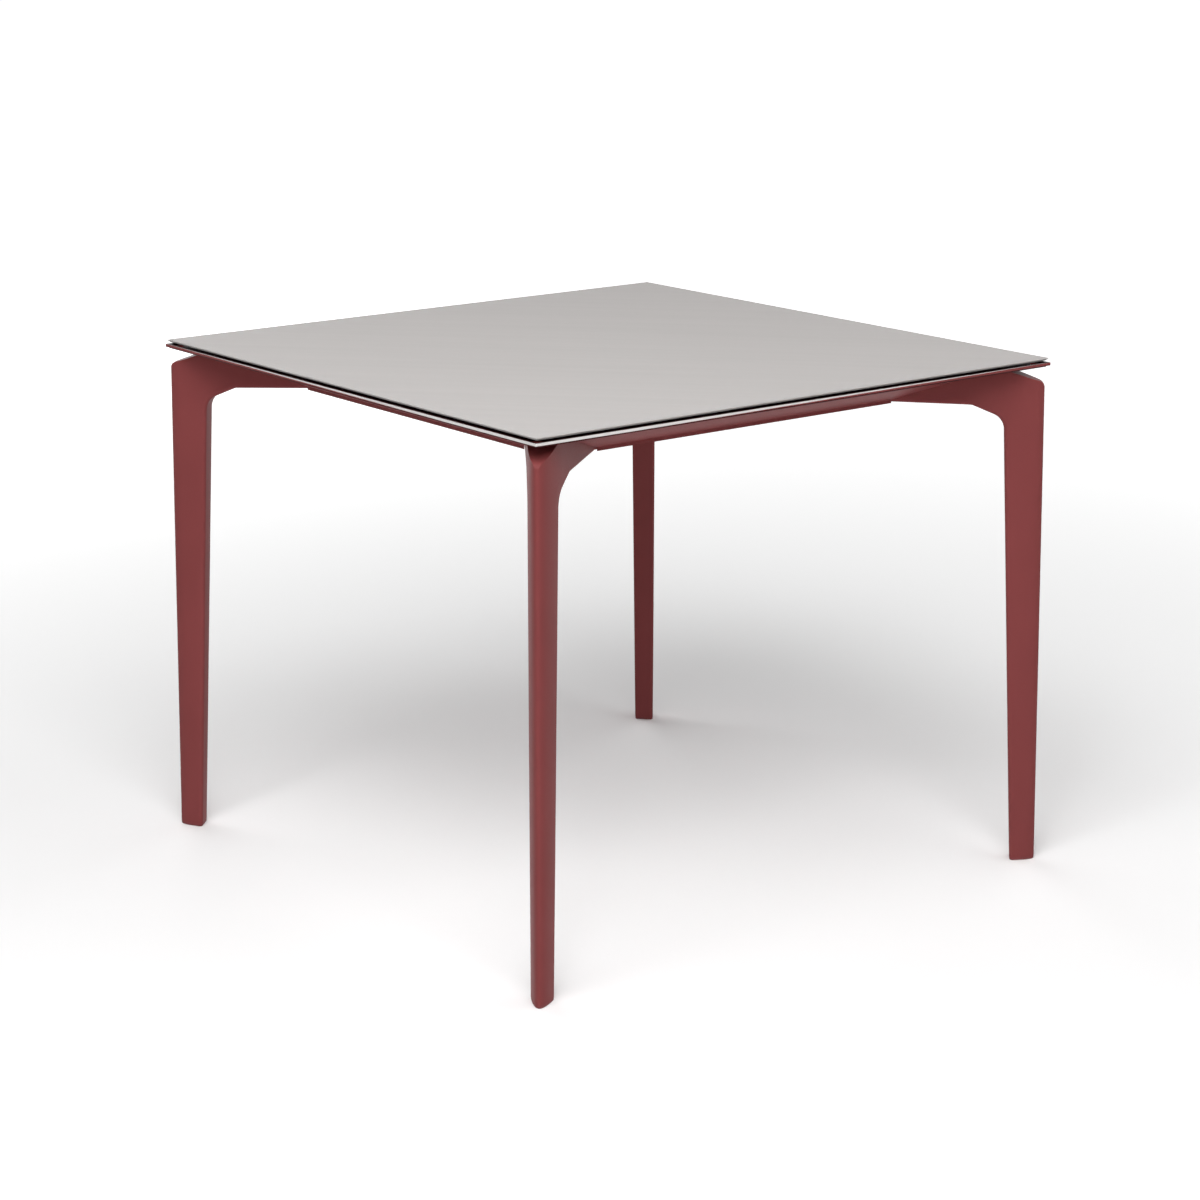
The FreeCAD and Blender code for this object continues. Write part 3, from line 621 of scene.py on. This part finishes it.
class Workpiece:
    """One mesh under work, shaped in edit mode and finished in object mode."""

    def __init__(self, piece: bpy.types.Object, name: str) -> None:
        """Take an object, put its place into its mesh and open it for shaping.

        Args:
            piece: the object, which is the active one.
            name: its name from now on.
        """
        self.piece = piece
        piece.name = name
        piece.data.name = name
        bpy.ops.object.transform_apply(location=True, rotation=True, scale=True)
        bpy.ops.object.mode_set(mode="EDIT")

    @classmethod
    def disc(cls, name: str, radius: float, low: float, high: float, sides: int) -> "Workpiece":
        """Add an upright round blank about the origin's axis.

        Args:
            name: its name.
            radius: its radius.
            low: the height of its lower face.
            high: the height of its upper face.
            sides: how many flat faces its round wall has.

        Returns:
            The blank, open for shaping.
        """
        bpy.ops.object.select_all(action="DESELECT")
        bpy.ops.mesh.primitive_cylinder_add(
            vertices=sides, radius=radius, depth=high - low, location=(0, 0, (low + high) / 2)
        )
        return cls(bpy.context.object, name)

    @classmethod
    def copy_of(cls, node: str, name: str) -> "Workpiece":
        """Copy a node's mesh, with its loose triangles merged and its flat faces made whole.

        Args:
            node: the node.
            name: the copy's name.

        Returns:
            The copy, open for shaping.
        """
        bpy.ops.object.select_all(action="DESELECT")
        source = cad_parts[node]
        piece = bpy.data.objects.new(name, source.data.copy())
        bpy.context.collection.objects.link(piece)
        bpy.context.view_layer.objects.active = piece
        piece.select_set(True)
        bpy.ops.mesh.customdata_custom_splitnormals_clear()
        work = cls(piece, name)
        bpy.ops.mesh.select_all(action="SELECT")
        bpy.ops.mesh.remove_doubles(threshold=SAME_POINT)
        bpy.ops.mesh.dissolve_limited(angle_limit=FLAT_ANGLE, delimit=set())
        return work

    def _pick(self, kind: str, test: FaceTest | EdgeTest | VertexTest) -> None:
        """Select the vertices, edges or faces that pass a test, and nothing else.

        Args:
            kind: VERT, EDGE or FACE.
            test: says of one of them whether it is picked.
        """
        bpy.ops.mesh.select_mode(type=kind)
        bpy.ops.mesh.select_all(action="DESELECT")
        mesh = bmesh.from_edit_mesh(self.piece.data)
        mesh.normal_update()
        rows = {"VERT": mesh.verts, "EDGE": mesh.edges, "FACE": mesh.faces}
        for each in [each for each in rows[kind] if test(each)]:
            each.select_set(True)
        bmesh.update_edit_mesh(self.piece.data)

    def pick_faces(self, test: FaceTest) -> None:
        """Select the faces that pass a test."""
        self._pick("FACE", test)

    def pick_edges(self, test: EdgeTest) -> None:
        """Select the edges that pass a test."""
        self._pick("EDGE", test)

    def pick_vertices(self, test: VertexTest) -> None:
        """Select the vertices that pass a test."""
        self._pick("VERT", test)

    def extrude(self, move: Place) -> None:
        """Extrude what is picked."""
        bpy.ops.mesh.extrude_region_move(TRANSFORM_OT_translate={"value": move})

    def inset(self, width: float) -> None:
        """Inset the picked face."""
        bpy.ops.mesh.inset(thickness=width, use_even_offset=True)

    def resize(self, factors: Place, centre: Place = (0, 0, 0)) -> None:
        """Scale what is picked about a point."""
        bpy.ops.transform.resize(value=factors, center_override=centre)

    def round_off(self, width: float, segments: int) -> None:
        """Round the picked edges."""
        bpy.ops.mesh.bevel(offset=width, segments=segments, profile=0.5, affect="EDGES")

    def close(self) -> bpy.types.Object:
        """Leave edit mode, with all faces turned outwards.

        Returns:
            The object.
        """
        bpy.ops.mesh.select_all(action="SELECT")
        bpy.ops.mesh.normals_make_consistent(inside=False)
        bpy.ops.object.mode_set(mode="OBJECT")
        return self.piece

    def soften(self, width: float, sharpest: float = 30.0, segments: int = 2) -> None:
        """Close the piece, round its sharp edges a little and shade it so that flat faces stay flat.

        Args:
            width: how far the rounding reaches from the edge.
            sharpest: an edge that turns by fewer degrees stays as it is.
            segments: faces across the rounding.
        """
        self.close()
        bpy.ops.object.shade_smooth()
        bevel = self.piece.modifiers.new("soft_edges", "BEVEL")
        bevel.width = width
        bevel.segments = segments
        bevel.limit_method = "ANGLE"
        bevel.angle_limit = math.radians(sharpest)
        bevel.harden_normals = True
        bpy.ops.object.modifier_apply(modifier=bevel.name)


def at_height(height: float) -> Callable[[bmesh.types.BMEdge | bmesh.types.BMFace], bool]:
    """Make a test that picks what lies flat at a height.

    Args:
        height: the height.

    Returns:
        A test of edges or faces.
    """

    def lies_there(part: bmesh.types.BMEdge | bmesh.types.BMFace) -> bool:
        """Return whether all vertices of an edge or face are at the height."""
        return all(abs(vertex.co.z - height) < NEAR for vertex in part.verts)

    return lies_there


def solids_of(node: str) -> list[list[Vector]]:
    """Return the points of each separate solid of a node.

    Args:
        node: a node that holds several alike solids.

    Returns:
        One list of points for each solid.
    """
    mesh = bmesh.new()
    mesh.from_mesh(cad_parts[node].data)
    bmesh.ops.remove_doubles(mesh, verts=mesh.verts, dist=SAME_POINT)
    solids = []
    waiting = set(mesh.verts)
    for first in mesh.verts:
        if first not in waiting:
            continue
        waiting.remove(first)
        reached = [first]
        for vertex in reached:
            beside = [edge.other_vert(vertex) for edge in vertex.link_edges]
            fresh = [each for each in beside if each in waiting]
            waiting.difference_update(fresh)
            reached.extend(fresh)
        solids.append([vertex.co.copy() for vertex in reached])
    mesh.free()
    return solids


def set_out(pattern: bpy.types.Object, places: list[Matrix], name: str) -> bpy.types.Object:
    """Set a copy of a pattern in each place, and join the copies into one piece.

    Args:
        pattern: the shape, about the origin. It is used up.
        places: where each copy goes, and how it is turned.
        name: the joined piece's name.

    Returns:
        The joined piece.
    """
    bpy.ops.object.select_all(action="DESELECT")
    for place in places:
        copy = bpy.data.objects.new(name, pattern.data.copy())
        copy.data.transform(place)
        bpy.context.collection.objects.link(copy)
        copy.select_set(True)
        bpy.context.view_layer.objects.active = copy
    bpy.data.objects.remove(pattern)
    bpy.ops.object.join()
    joined = bpy.context.object
    joined.name = name
    joined.data.name = name
    return joined


def dress(piece: bpy.types.Object, material: bpy.types.Material) -> None:
    """Give a piece one material all over."""
    piece.data.materials.clear()
    piece.data.materials.append(material)


def stand_for(
    piece: bpy.types.Object, node: str, material: bpy.types.Material
) -> None:
    """Dress a finished piece and put it in the place of a node.

    Args:
        piece: the finished piece.
        node: the node that it replaces.
        material: its finish.
    """
    dress(piece, material)
    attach(piece, ROOT)
    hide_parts(node)
    log.info("%s stands for %s: %d faces", piece.name, node, len(piece.data.polygons))


@dataclass
class Top:
    """The thin square sheet."""

    edge_radius: float = 0.0003

    def build(self, finishes: Finishes) -> None:
        """Build and dress the sheet.

        Args:
            finishes: the shared finishes.
        """
        sheet = Workpiece.copy_of("top_panel", "top_sheet")
        sheet.soften(self.edge_radius)
        stand_for(sheet.piece, "top_panel", finishes.pale)


@dataclass
class EdgeFrame:
    """The four mitred edge rails, each a rim bar with a web behind it."""

    edge_radius: float = 0.0002
    rim_height: float = 0.0044

    def build(self) -> None:
        """Build and dress the rails."""
        for side in Side:
            node = f"edge_rail_{side.word}"
            low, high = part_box(node)
            finish = TwoToneRim(
                f"two_tone_rim_{side.word}",
                RED,
                side=side,
                starts_at=side.mirrored,
                foot=high.z - self.rim_height,
                height=self.rim_height,
                half_length=max(high.x, high.y, -low.x, -low.y),
            )
            rail = Workpiece.copy_of(node, f"rim_and_web_{side.word}")
            rail.soften(self.edge_radius)
            stand_for(rail.piece, node, finish.build())


@dataclass
class Skirt:
    """The four hollow wedge beams that slope in under the rails."""

    edge_radius: float = 0.0004

    def build(self, finishes: Finishes) -> None:
        """Build and dress the beams.

        Args:
            finishes: the shared finishes.
        """
        for side in Side:
            node = f"skirt_beam_{side.word}"
            beam = Workpiece.copy_of(node, f"wedge_beam_{side.word}")
            beam.soften(self.edge_radius)
            stand_for(beam.piece, node, finishes.red)


@dataclass
class Legs:
    """The four cast legs with their arms, glides and brackets."""

    edge_radius: float = 0.0005
    glide_edge_radius: float = 0.0003
    bracket_fold_radius: float = 0.003
    bracket_fold_segments: int = 4
    bracket_edge_radius: float = 0.0004
    fold_angle: float = math.radians(45)
    fold_angle_play: float = math.radians(3)

    def build(self, finishes: Finishes) -> None:
        """Build and dress all four corners.

        Args:
            finishes: the shared finishes.
        """
        for corner in Corner:
            self.add_casting(corner.value, finishes)
            self.add_glide(corner.value, finishes)
            self.add_bracket(corner.value, finishes)

    def add_casting(self, corner: str, finishes: Finishes) -> None:
        """Add the leg and its arm, which are one casting.

        Args:
            corner: the corner's name.
            finishes: the shared finishes.
        """
        casting = Workpiece.copy_of(f"leg_{corner}", f"leg_casting_{corner}")
        casting.soften(self.edge_radius)
        stand_for(casting.piece, f"leg_{corner}", finishes.red)

    def add_glide(self, corner: str, finishes: Finishes) -> None:
        """Add the moulded sole.

        Args:
            corner: the corner's name.
            finishes: the shared finishes.
        """
        glide = Workpiece.copy_of(f"foot_glide_{corner}", f"moulded_sole_{corner}")
        glide.soften(self.glide_edge_radius)
        stand_for(glide.piece, f"foot_glide_{corner}", finishes.plastic)

    def add_bracket(self, corner: str, finishes: Finishes) -> None:
        """Add the folded plate, with a radius in each fold.

        Args:
            corner: the corner's name.
            finishes: the shared finishes.
        """
        bracket = Workpiece.copy_of(f"corner_bracket_{corner}", f"folded_plate_{corner}")
        bracket.pick_edges(self.is_fold)
        bracket.round_off(self.bracket_fold_radius, self.bracket_fold_segments)
        bracket.soften(self.bracket_edge_radius)
        stand_for(bracket.piece, f"corner_bracket_{corner}", finishes.zinc)

    def is_fold(self, edge: bmesh.types.BMEdge) -> bool:
        """Say whether an edge of the plate is one of the upright fold lines.

        Args:
            edge: the edge.

        Returns:
            True where the edge is upright and turns by the angle of a fold.
        """
        rise = edge.verts[1].co - edge.verts[0].co
        upright = abs(rise.z) > max(abs(rise.x), abs(rise.y))
        turn = edge.calc_face_angle(0)
        return upright and abs(turn - self.fold_angle) < self.fold_angle_play


@dataclass
class PanelSupport:
    """What carries the sheet from below: battens, cross rails and rubber strips."""

    batten_edge_radius: float = 0.0004
    tube_corner_radius: float = 0.0018
    tube_corner_segments: int = 4
    tube_edge_radius: float = 0.0003
    strip_edge_radius: float = 0.0008

    def build(self, finishes: Finishes) -> None:
        """Build and dress all of it.

        Args:
            finishes: the shared finishes.
        """
        for side in Side:
            self.add_batten(side, finishes)
        for word in (Side.LEFT.word, Side.RIGHT.word):
            self.add_tube(word, finishes)
            self.add_strip(word, finishes)

    def add_batten(self, side: Side, finishes: Finishes) -> None:
        """Add the flat bar that stiffens the sheet along a side.

        Args:
            side: the side.
            finishes: the shared finishes.
        """
        node = f"panel_batten_{side.word}"
        metal = finishes.metal_front_to_back
        if side.runs_left_to_right:
            metal = finishes.metal_left_to_right
        batten = Workpiece.copy_of(node, f"flat_bar_{side.word}")
        batten.soften(self.batten_edge_radius)
        stand_for(batten.piece, node, metal)

    def add_tube(self, word: str, finishes: Finishes) -> None:
        """Add a cross rail, a drawn tube with rounded corners.

        Args:
            word: left or right.
            finishes: the shared finishes.
        """
        node = f"cross_rail_{word}"
        low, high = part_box(node)
        tube = Workpiece.copy_of(node, f"drawn_tube_{word}")

        def is_corner(edge: bmesh.types.BMEdge) -> bool:
            """Say whether an edge is one of the tube's four long outer corners.

            Args:
                edge: the edge.

            Returns:
                True where both its ends are on the tube's outer corners and it runs along the tube.
            """
            at_corner = all(
                min(abs(vertex.co.x - low.x), abs(vertex.co.x - high.x)) < NEAR
                and min(abs(vertex.co.z - low.z), abs(vertex.co.z - high.z)) < NEAR
                for vertex in edge.verts
            )
            return at_corner and edge.calc_length() > (high.y - low.y) / 2

        tube.pick_edges(is_corner)
        tube.round_off(self.tube_corner_radius, self.tube_corner_segments)
        tube.soften(self.tube_edge_radius)
        stand_for(tube.piece, node, finishes.metal_front_to_back)

    def add_strip(self, word: str, finishes: Finishes) -> None:
        """Add the rubber strip on top of a cross rail.

        Args:
            word: left or right.
            finishes: the shared finishes.
        """
        strip = Workpiece.copy_of(f"rail_strip_{word}", f"rubber_strip_{word}")
        strip.soften(self.strip_edge_radius)
        stand_for(strip.piece, f"rail_strip_{word}", finishes.rubber)


@dataclass
class Buttons:
    """The rubber discs between the sheet and the web, each with a dimple on top."""

    node: str = "panel_buttons"
    radius: float = 0.008
    edge_radius: float = 0.0008
    edge_segments: int = 3
    dimple_radius: float = 0.0035
    dimple_depth: float = 0.0009
    dimple_taper: float = 0.6
    sides: int = 32
    crease: float = math.radians(35)

    def build(self, finishes: Finishes) -> None:
        """Model one disc and set a copy in each place.

        Args:
            finishes: the shared finishes.
        """
        low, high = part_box(self.node)
        places = []
        for points in solids_of(self.node):
            middle = sum(points, Vector()) / len(points)
            places.append(Matrix.Translation((middle.x, middle.y, low.z)))
        joined = set_out(self.model(high.z - low.z), places, "rubber_buttons")
        stand_for(joined, self.node, finishes.rubber)

    def model(self, height: float) -> bpy.types.Object:
        """Model one disc that stands on zero.

        Args:
            height: how high it is.

        Returns:
            The finished shape, to be copied.
        """
        work = Workpiece.disc("button_pattern", self.radius, 0, height, self.sides)
        work.pick_edges(at_height(height))
        work.round_off(self.edge_radius, self.edge_segments)
        work.pick_faces(at_height(height))
        work.inset(self.radius - self.edge_radius - self.dimple_radius)
        work.extrude((0, 0, -self.dimple_depth))
        taper = (self.dimple_taper, self.dimple_taper, 1)
        work.resize(taper, (0, 0, height - self.dimple_depth))
        piece = work.close()
        bpy.ops.object.shade_smooth_by_angle(angle=self.crease)
        return piece


@dataclass(frozen=True)
class FastenerSize:
    """The sizes of one kind of screw or bolt, and of the hexagon socket in its head."""

    head_radius: float
    head_height: float
    shank_radius: float
    # From the socket's middle to its corners
    socket_radius: float
    socket_depth: float
    # How far the rounding of the head's upper edge reaches
    dome: float
    tip_chamfer: float = 0.0006


@dataclass
class FastenerSet:
    """All the screws or bolts of one kind, with hexagon sockets in their heads."""

    node: str
    aim: HeadAim
    size: FastenerSize
    sides: int = 24
    dome_segments: int = 4
    crease: float = math.radians(35)

    def build(self, finishes: Finishes) -> None:
        """Model one screw or bolt and set a copy in each place.

        Args:
            finishes: the shared finishes.
        """
        places = []
        for points in solids_of(self.node):
            aim = self.aim.direction(points[0])
            reaches = [point.dot(aim) for point in points]
            # The head's face lies farthest along the aim
            face = [point for point, reach in zip(points, reaches) if max(reaches) - reach < NEAR]
            middle = sum(face, Vector()) / len(face)
            turn = aim.to_track_quat("Z", "Y").to_matrix().to_4x4()
            places.append(Matrix.Translation(middle) @ turn)
            # All of a set are equally long, so any one gives the length
            length = max(reaches) - min(reaches)
        joined = set_out(self.model(length), places, f"{self.node}_set")
        stand_for(joined, self.node, finishes.zinc)

    def model(self, length: float) -> bpy.types.Object:
        """Model one screw or bolt whose head's face is at zero and looks up.

        Args:
            length: from the head's face to the tip.

        Returns:
            The finished shape, to be copied.
        """
        size = self.size
        seat = -size.head_height
        work = Workpiece.disc(f"{self.node}_pattern", size.head_radius, seat, 0, self.sides)
        work.pick_edges(at_height(0))
        work.round_off(size.dome, self.dome_segments)
        work.pick_faces(at_height(0))
        work.inset(size.head_radius - size.dome - size.socket_radius)
        self.shape_socket(work)
        work.pick_faces(at_height(seat))
        work.inset(size.head_radius - size.shank_radius)
        work.extrude((0, 0, size.head_height - length))
        work.pick_edges(at_height(-length))
        work.round_off(size.tip_chamfer, 1)
        piece = work.close()
        bpy.ops.object.shade_smooth_by_angle(angle=self.crease)
        return piece

    def shape_socket(self, work: Workpiece) -> None:
        """Draw the inset face into a hexagon and sink it into the head.

        Args:
            work: the screw or bolt, with a round inset face of the socket's radius.
        """
        half_flat = math.pi / 6
        step = math.tau / self.sides
        reach = self.size.socket_radius + NEAR

        def on_face(vertex: bmesh.types.BMVert) -> bool:
            """Return whether a vertex is one of the inset face's."""
            return vertex.co.xy.length < reach and abs(vertex.co.z) < NEAR

        def from_corner(vertex: bmesh.types.BMVert) -> float:
            """Return a vertex's angle from the hexagon's nearest corner."""
            angle = math.atan2(vertex.co.y, vertex.co.x) % (2 * half_flat)
            return min(angle, 2 * half_flat - angle)

        for number in range(1, round(half_flat / step) + 1):
            angle = number * step
            share = math.cos(half_flat) / math.cos(half_flat - angle)
            work.pick_vertices(
                lambda vertex: on_face(vertex) and abs(from_corner(vertex) - angle) < step / 4
            )
            work.resize((share, share, 1))
        work.pick_faces(lambda face: all(on_face(vertex) for vertex in face.verts))
        work.extrude((0, 0, -self.size.socket_depth))


@dataclass
class Fixings:
    """Every set of screws and bolts."""

    small: FastenerSize = FastenerSize(
        head_radius=0.00475,
        head_height=0.0025,
        shank_radius=0.0025,
        socket_radius=0.00173,
        socket_depth=0.0016,
        dome=0.0013,
    )
    medium: FastenerSize = FastenerSize(
        head_radius=0.00525,
        head_height=0.0033,
        shank_radius=0.003,
        socket_radius=0.0023,
        socket_depth=0.002,
        dome=0.0017,
    )
    large: FastenerSize = FastenerSize(
        head_radius=0.0065,
        head_height=0.008,
        shank_radius=0.004,
        socket_radius=0.00346,
        socket_depth=0.004,
        dome=0.0007,
    )

    def build(self, finishes: Finishes) -> None:
        """Build every set.

        Args:
            finishes: the shared finishes.
        """
        sets = (
            FastenerSet("panel_screws", HeadAim.DOWN, self.small),
            FastenerSet("skirt_screws", HeadAim.UP, self.small),
            FastenerSet("arm_screws", HeadAim.UP, self.small),
            FastenerSet("cross_rail_screws", HeadAim.DOWN, self.small),
            FastenerSet("bracket_screws", HeadAim.INWARD, self.medium),
            FastenerSet("arm_bolts", HeadAim.INWARD_DIAGONAL, self.large),
        )
        for each in sets:
            each.build(finishes)


@dataclass(frozen=True)
class SoftLamp:
    """A large square lamp, hung on a bearing and at an angle above the table, in degrees.

    Its power is in watts.
    """

    name: str
    bearing: float
    height_angle: float
    power: float
    distance: float = 5.0
    width: float = 2.6

    def hang(self, aim: Vector) -> None:
        """Hang the lamp and turn it to the point that it lights.

        Args:
            aim: the point, from which the bearing, angle and distance count.
        """
        data = bpy.data.lights.new(self.name, "AREA")
        data.shape = "SQUARE"
        data.size = self.width
        data.energy = self.power
        lamp = bpy.data.objects.new(self.name, data)
        bearing = math.radians(self.bearing)
        angle = math.radians(self.height_angle)
        away = Vector(
            (math.cos(bearing) * math.cos(angle), math.sin(bearing) * math.cos(angle), math.sin(angle))
        )
        lamp.location = aim + self.distance * away
        lamp.rotation_euler = away.to_track_quat("Z", "Y").to_euler()
        bpy.context.collection.objects.link(lamp)


@dataclass
class Studio:
    """The camera, the lamps, the white surroundings and the pale floor."""

    camera_place: Place = (-2.4711, -3.1658, 1.4480)
    camera_yaw: float = math.radians(37.973)
    camera_pitch: float = math.radians(15.009)
    camera_roll: float = math.radians(0.028)
    # In millimetres, as on a lens
    focal_length: float = 85.362
    film_width: float = 36.0
    floor_half: float = 30.0
    floor_colour: Colour = (0.92, 0.92, 0.92)
    # The floor's own glow is seen but lights nothing. It rises from near_glow to 1, which is white,
    # between these two distances from the table's middle
    near_glow: float = 0.02
    glow_starts: float = 0.4
    white_from: float = 6.6
    # The strength at which the surroundings, seen as white, light the table
    surround_light: float = 0.03
    lamp_aim: Place = (0, 0, 0.6)
    lamps: tuple[SoftLamp, ...] = (
        SoftLamp("high_left_lamp", bearing=210, height_angle=55, power=40, distance=3.2, width=1.7),
        SoftLamp("left_lamp", bearing=210, height_angle=40, power=42),
        SoftLamp("front_lamp", bearing=240, height_angle=40, power=58, distance=3.6, width=1.9),
        SoftLamp("low_front_lamp", bearing=228, height_angle=16, power=46, width=3.0),
        SoftLamp("front_right_lamp", bearing=305, height_angle=42, power=46, width=3.4),
        SoftLamp("right_lamp", bearing=0, height_angle=27, power=65, width=4.4),
        SoftLamp("back_lamp", bearing=90, height_angle=27, power=122, width=4.4),
    )

    def build(self) -> None:
        """Build the whole studio."""
        self.add_camera()
        self.add_surroundings()
        self.add_floor()
        for lamp in self.lamps:
            lamp.hang(Vector(self.lamp_aim))
        bpy.context.scene.view_settings.view_transform = "Standard"
        log.info("studio: camera, surroundings, floor and %d lamps", len(self.lamps))

    def add_camera(self) -> None:
        """Place the camera as the photograph's camera stood."""
        data = bpy.data.cameras.new("camera")
        data.sensor_width = self.film_width
        data.lens = self.focal_length
        camera = bpy.data.objects.new("camera", data)
        camera.location = self.camera_place
        tilt = math.pi / 2 - self.camera_pitch
        turn = Euler((tilt, 0, -self.camera_yaw), "XYZ").to_matrix()
        roll = Euler((0, 0, -self.camera_roll), "XYZ").to_matrix()
        camera.rotation_euler = (turn @ roll).to_euler()
        bpy.context.collection.objects.link(camera)
        bpy.context.scene.camera = camera

    def seen(self, graph: NodeGraph) -> Socket:
        """Tell what is seen, straight, mirrored or through glass, from what only lights.

        Args:
            graph: the node tree of a material or of the surroundings.

        Returns:
            1 for a ray that is seen, 0 for one that lights.
        """
        rays = graph.add("ShaderNodeLightPath")
        seen = graph.reckon("MAXIMUM", rays.outputs["Is Camera Ray"], rays.outputs["Is Glossy Ray"])
        return graph.reckon("MAXIMUM", seen, rays.outputs["Is Transmission Ray"])

    def add_surroundings(self) -> None:
        """Show white behind the table, and let only a little light come from it."""
        world = bpy.data.worlds.new("surroundings")
        world.use_nodes = True
        graph = NodeGraph(world.node_tree, "ShaderNodeOutputWorld")
        background = graph.add("ShaderNodeBackground", {"Color": WHITE})
        strength = graph.spread(self.seen(graph), self.surround_light, 1.0, start=0.0, end=1.0)
        graph.join(strength, background.inputs["Strength"])
        graph.join(background.outputs[0], graph.output.inputs["Surface"])
        bpy.context.scene.world = world

    def add_floor(self) -> None:
        """Lay a pale floor that keeps the table's shadow and is clear from below."""
        bpy.ops.object.select_all(action="DESELECT")
        bpy.ops.mesh.primitive_plane_add(size=2 * self.floor_half)
        floor = bpy.context.object
        floor.name = "floor"
        dress(floor, self.floor_paper())

    def floor_paper(self) -> bpy.types.Material:
        """Build the floor's material, which turns to white away from the table.

        Returns:
            The material.
        """
        graph = MaterialGraph("floor_paper")
        paper = graph.add("ShaderNodeBsdfDiffuse", {"Color": (*self.floor_colour, 1)})
        glow = graph.add("ShaderNodeEmission", {"Color": WHITE})
        graph.join(self.glow_strength(graph), glow.inputs["Strength"])
        lit = graph.add("ShaderNodeAddShader")
        graph.join(paper.outputs[0], lit.inputs[0])
        graph.join(glow.outputs[0], lit.inputs[1])
        clear = graph.add("ShaderNodeBsdfTransparent")
        facing = graph.add("ShaderNodeNewGeometry")
        both = graph.add("ShaderNodeMixShader")
        graph.join(facing.outputs["Backfacing"], both.inputs[0])
        graph.join(lit.outputs[0], both.inputs[1])
        graph.join(clear.outputs[0], both.inputs[2])
        return graph.finish(both)

    def glow_strength(self, graph: NodeGraph) -> Socket:
        """Work out the floor's glow from the distance to the table's middle.

        Args:
            graph: the floor's node tree.

        Returns:
            The glow's strength, zero for a ray that only lights.
        """
        away = graph.add("ShaderNodeVectorMath", operation="LENGTH")
        graph.join(graph.place(), away.inputs[0])
        ends = {
            "From Min": self.glow_starts,
            "From Max": self.white_from,
            "To Min": self.near_glow,
            "To Max": 1.0,
        }
        rise = graph.add("ShaderNodeMapRange", ends, interpolation_type="SMOOTHSTEP")
        graph.join(away.outputs["Value"], rise.inputs["Value"])
        return graph.reckon("MULTIPLY", self.seen(graph), rise.outputs["Result"])


def main() -> None:
    """Build the table's pieces in order, then the studio."""
    logging.basicConfig(level=logging.INFO, format="%(message)s")
    finishes = Finishes()
    Top().build(finishes)
    EdgeFrame().build()
    Skirt().build(finishes)
    Legs().build(finishes)
    PanelSupport().build(finishes)
    Buttons().build(finishes)
    Fixings().build(finishes)
    Studio().build()


if __name__ == "__main__":
    main()
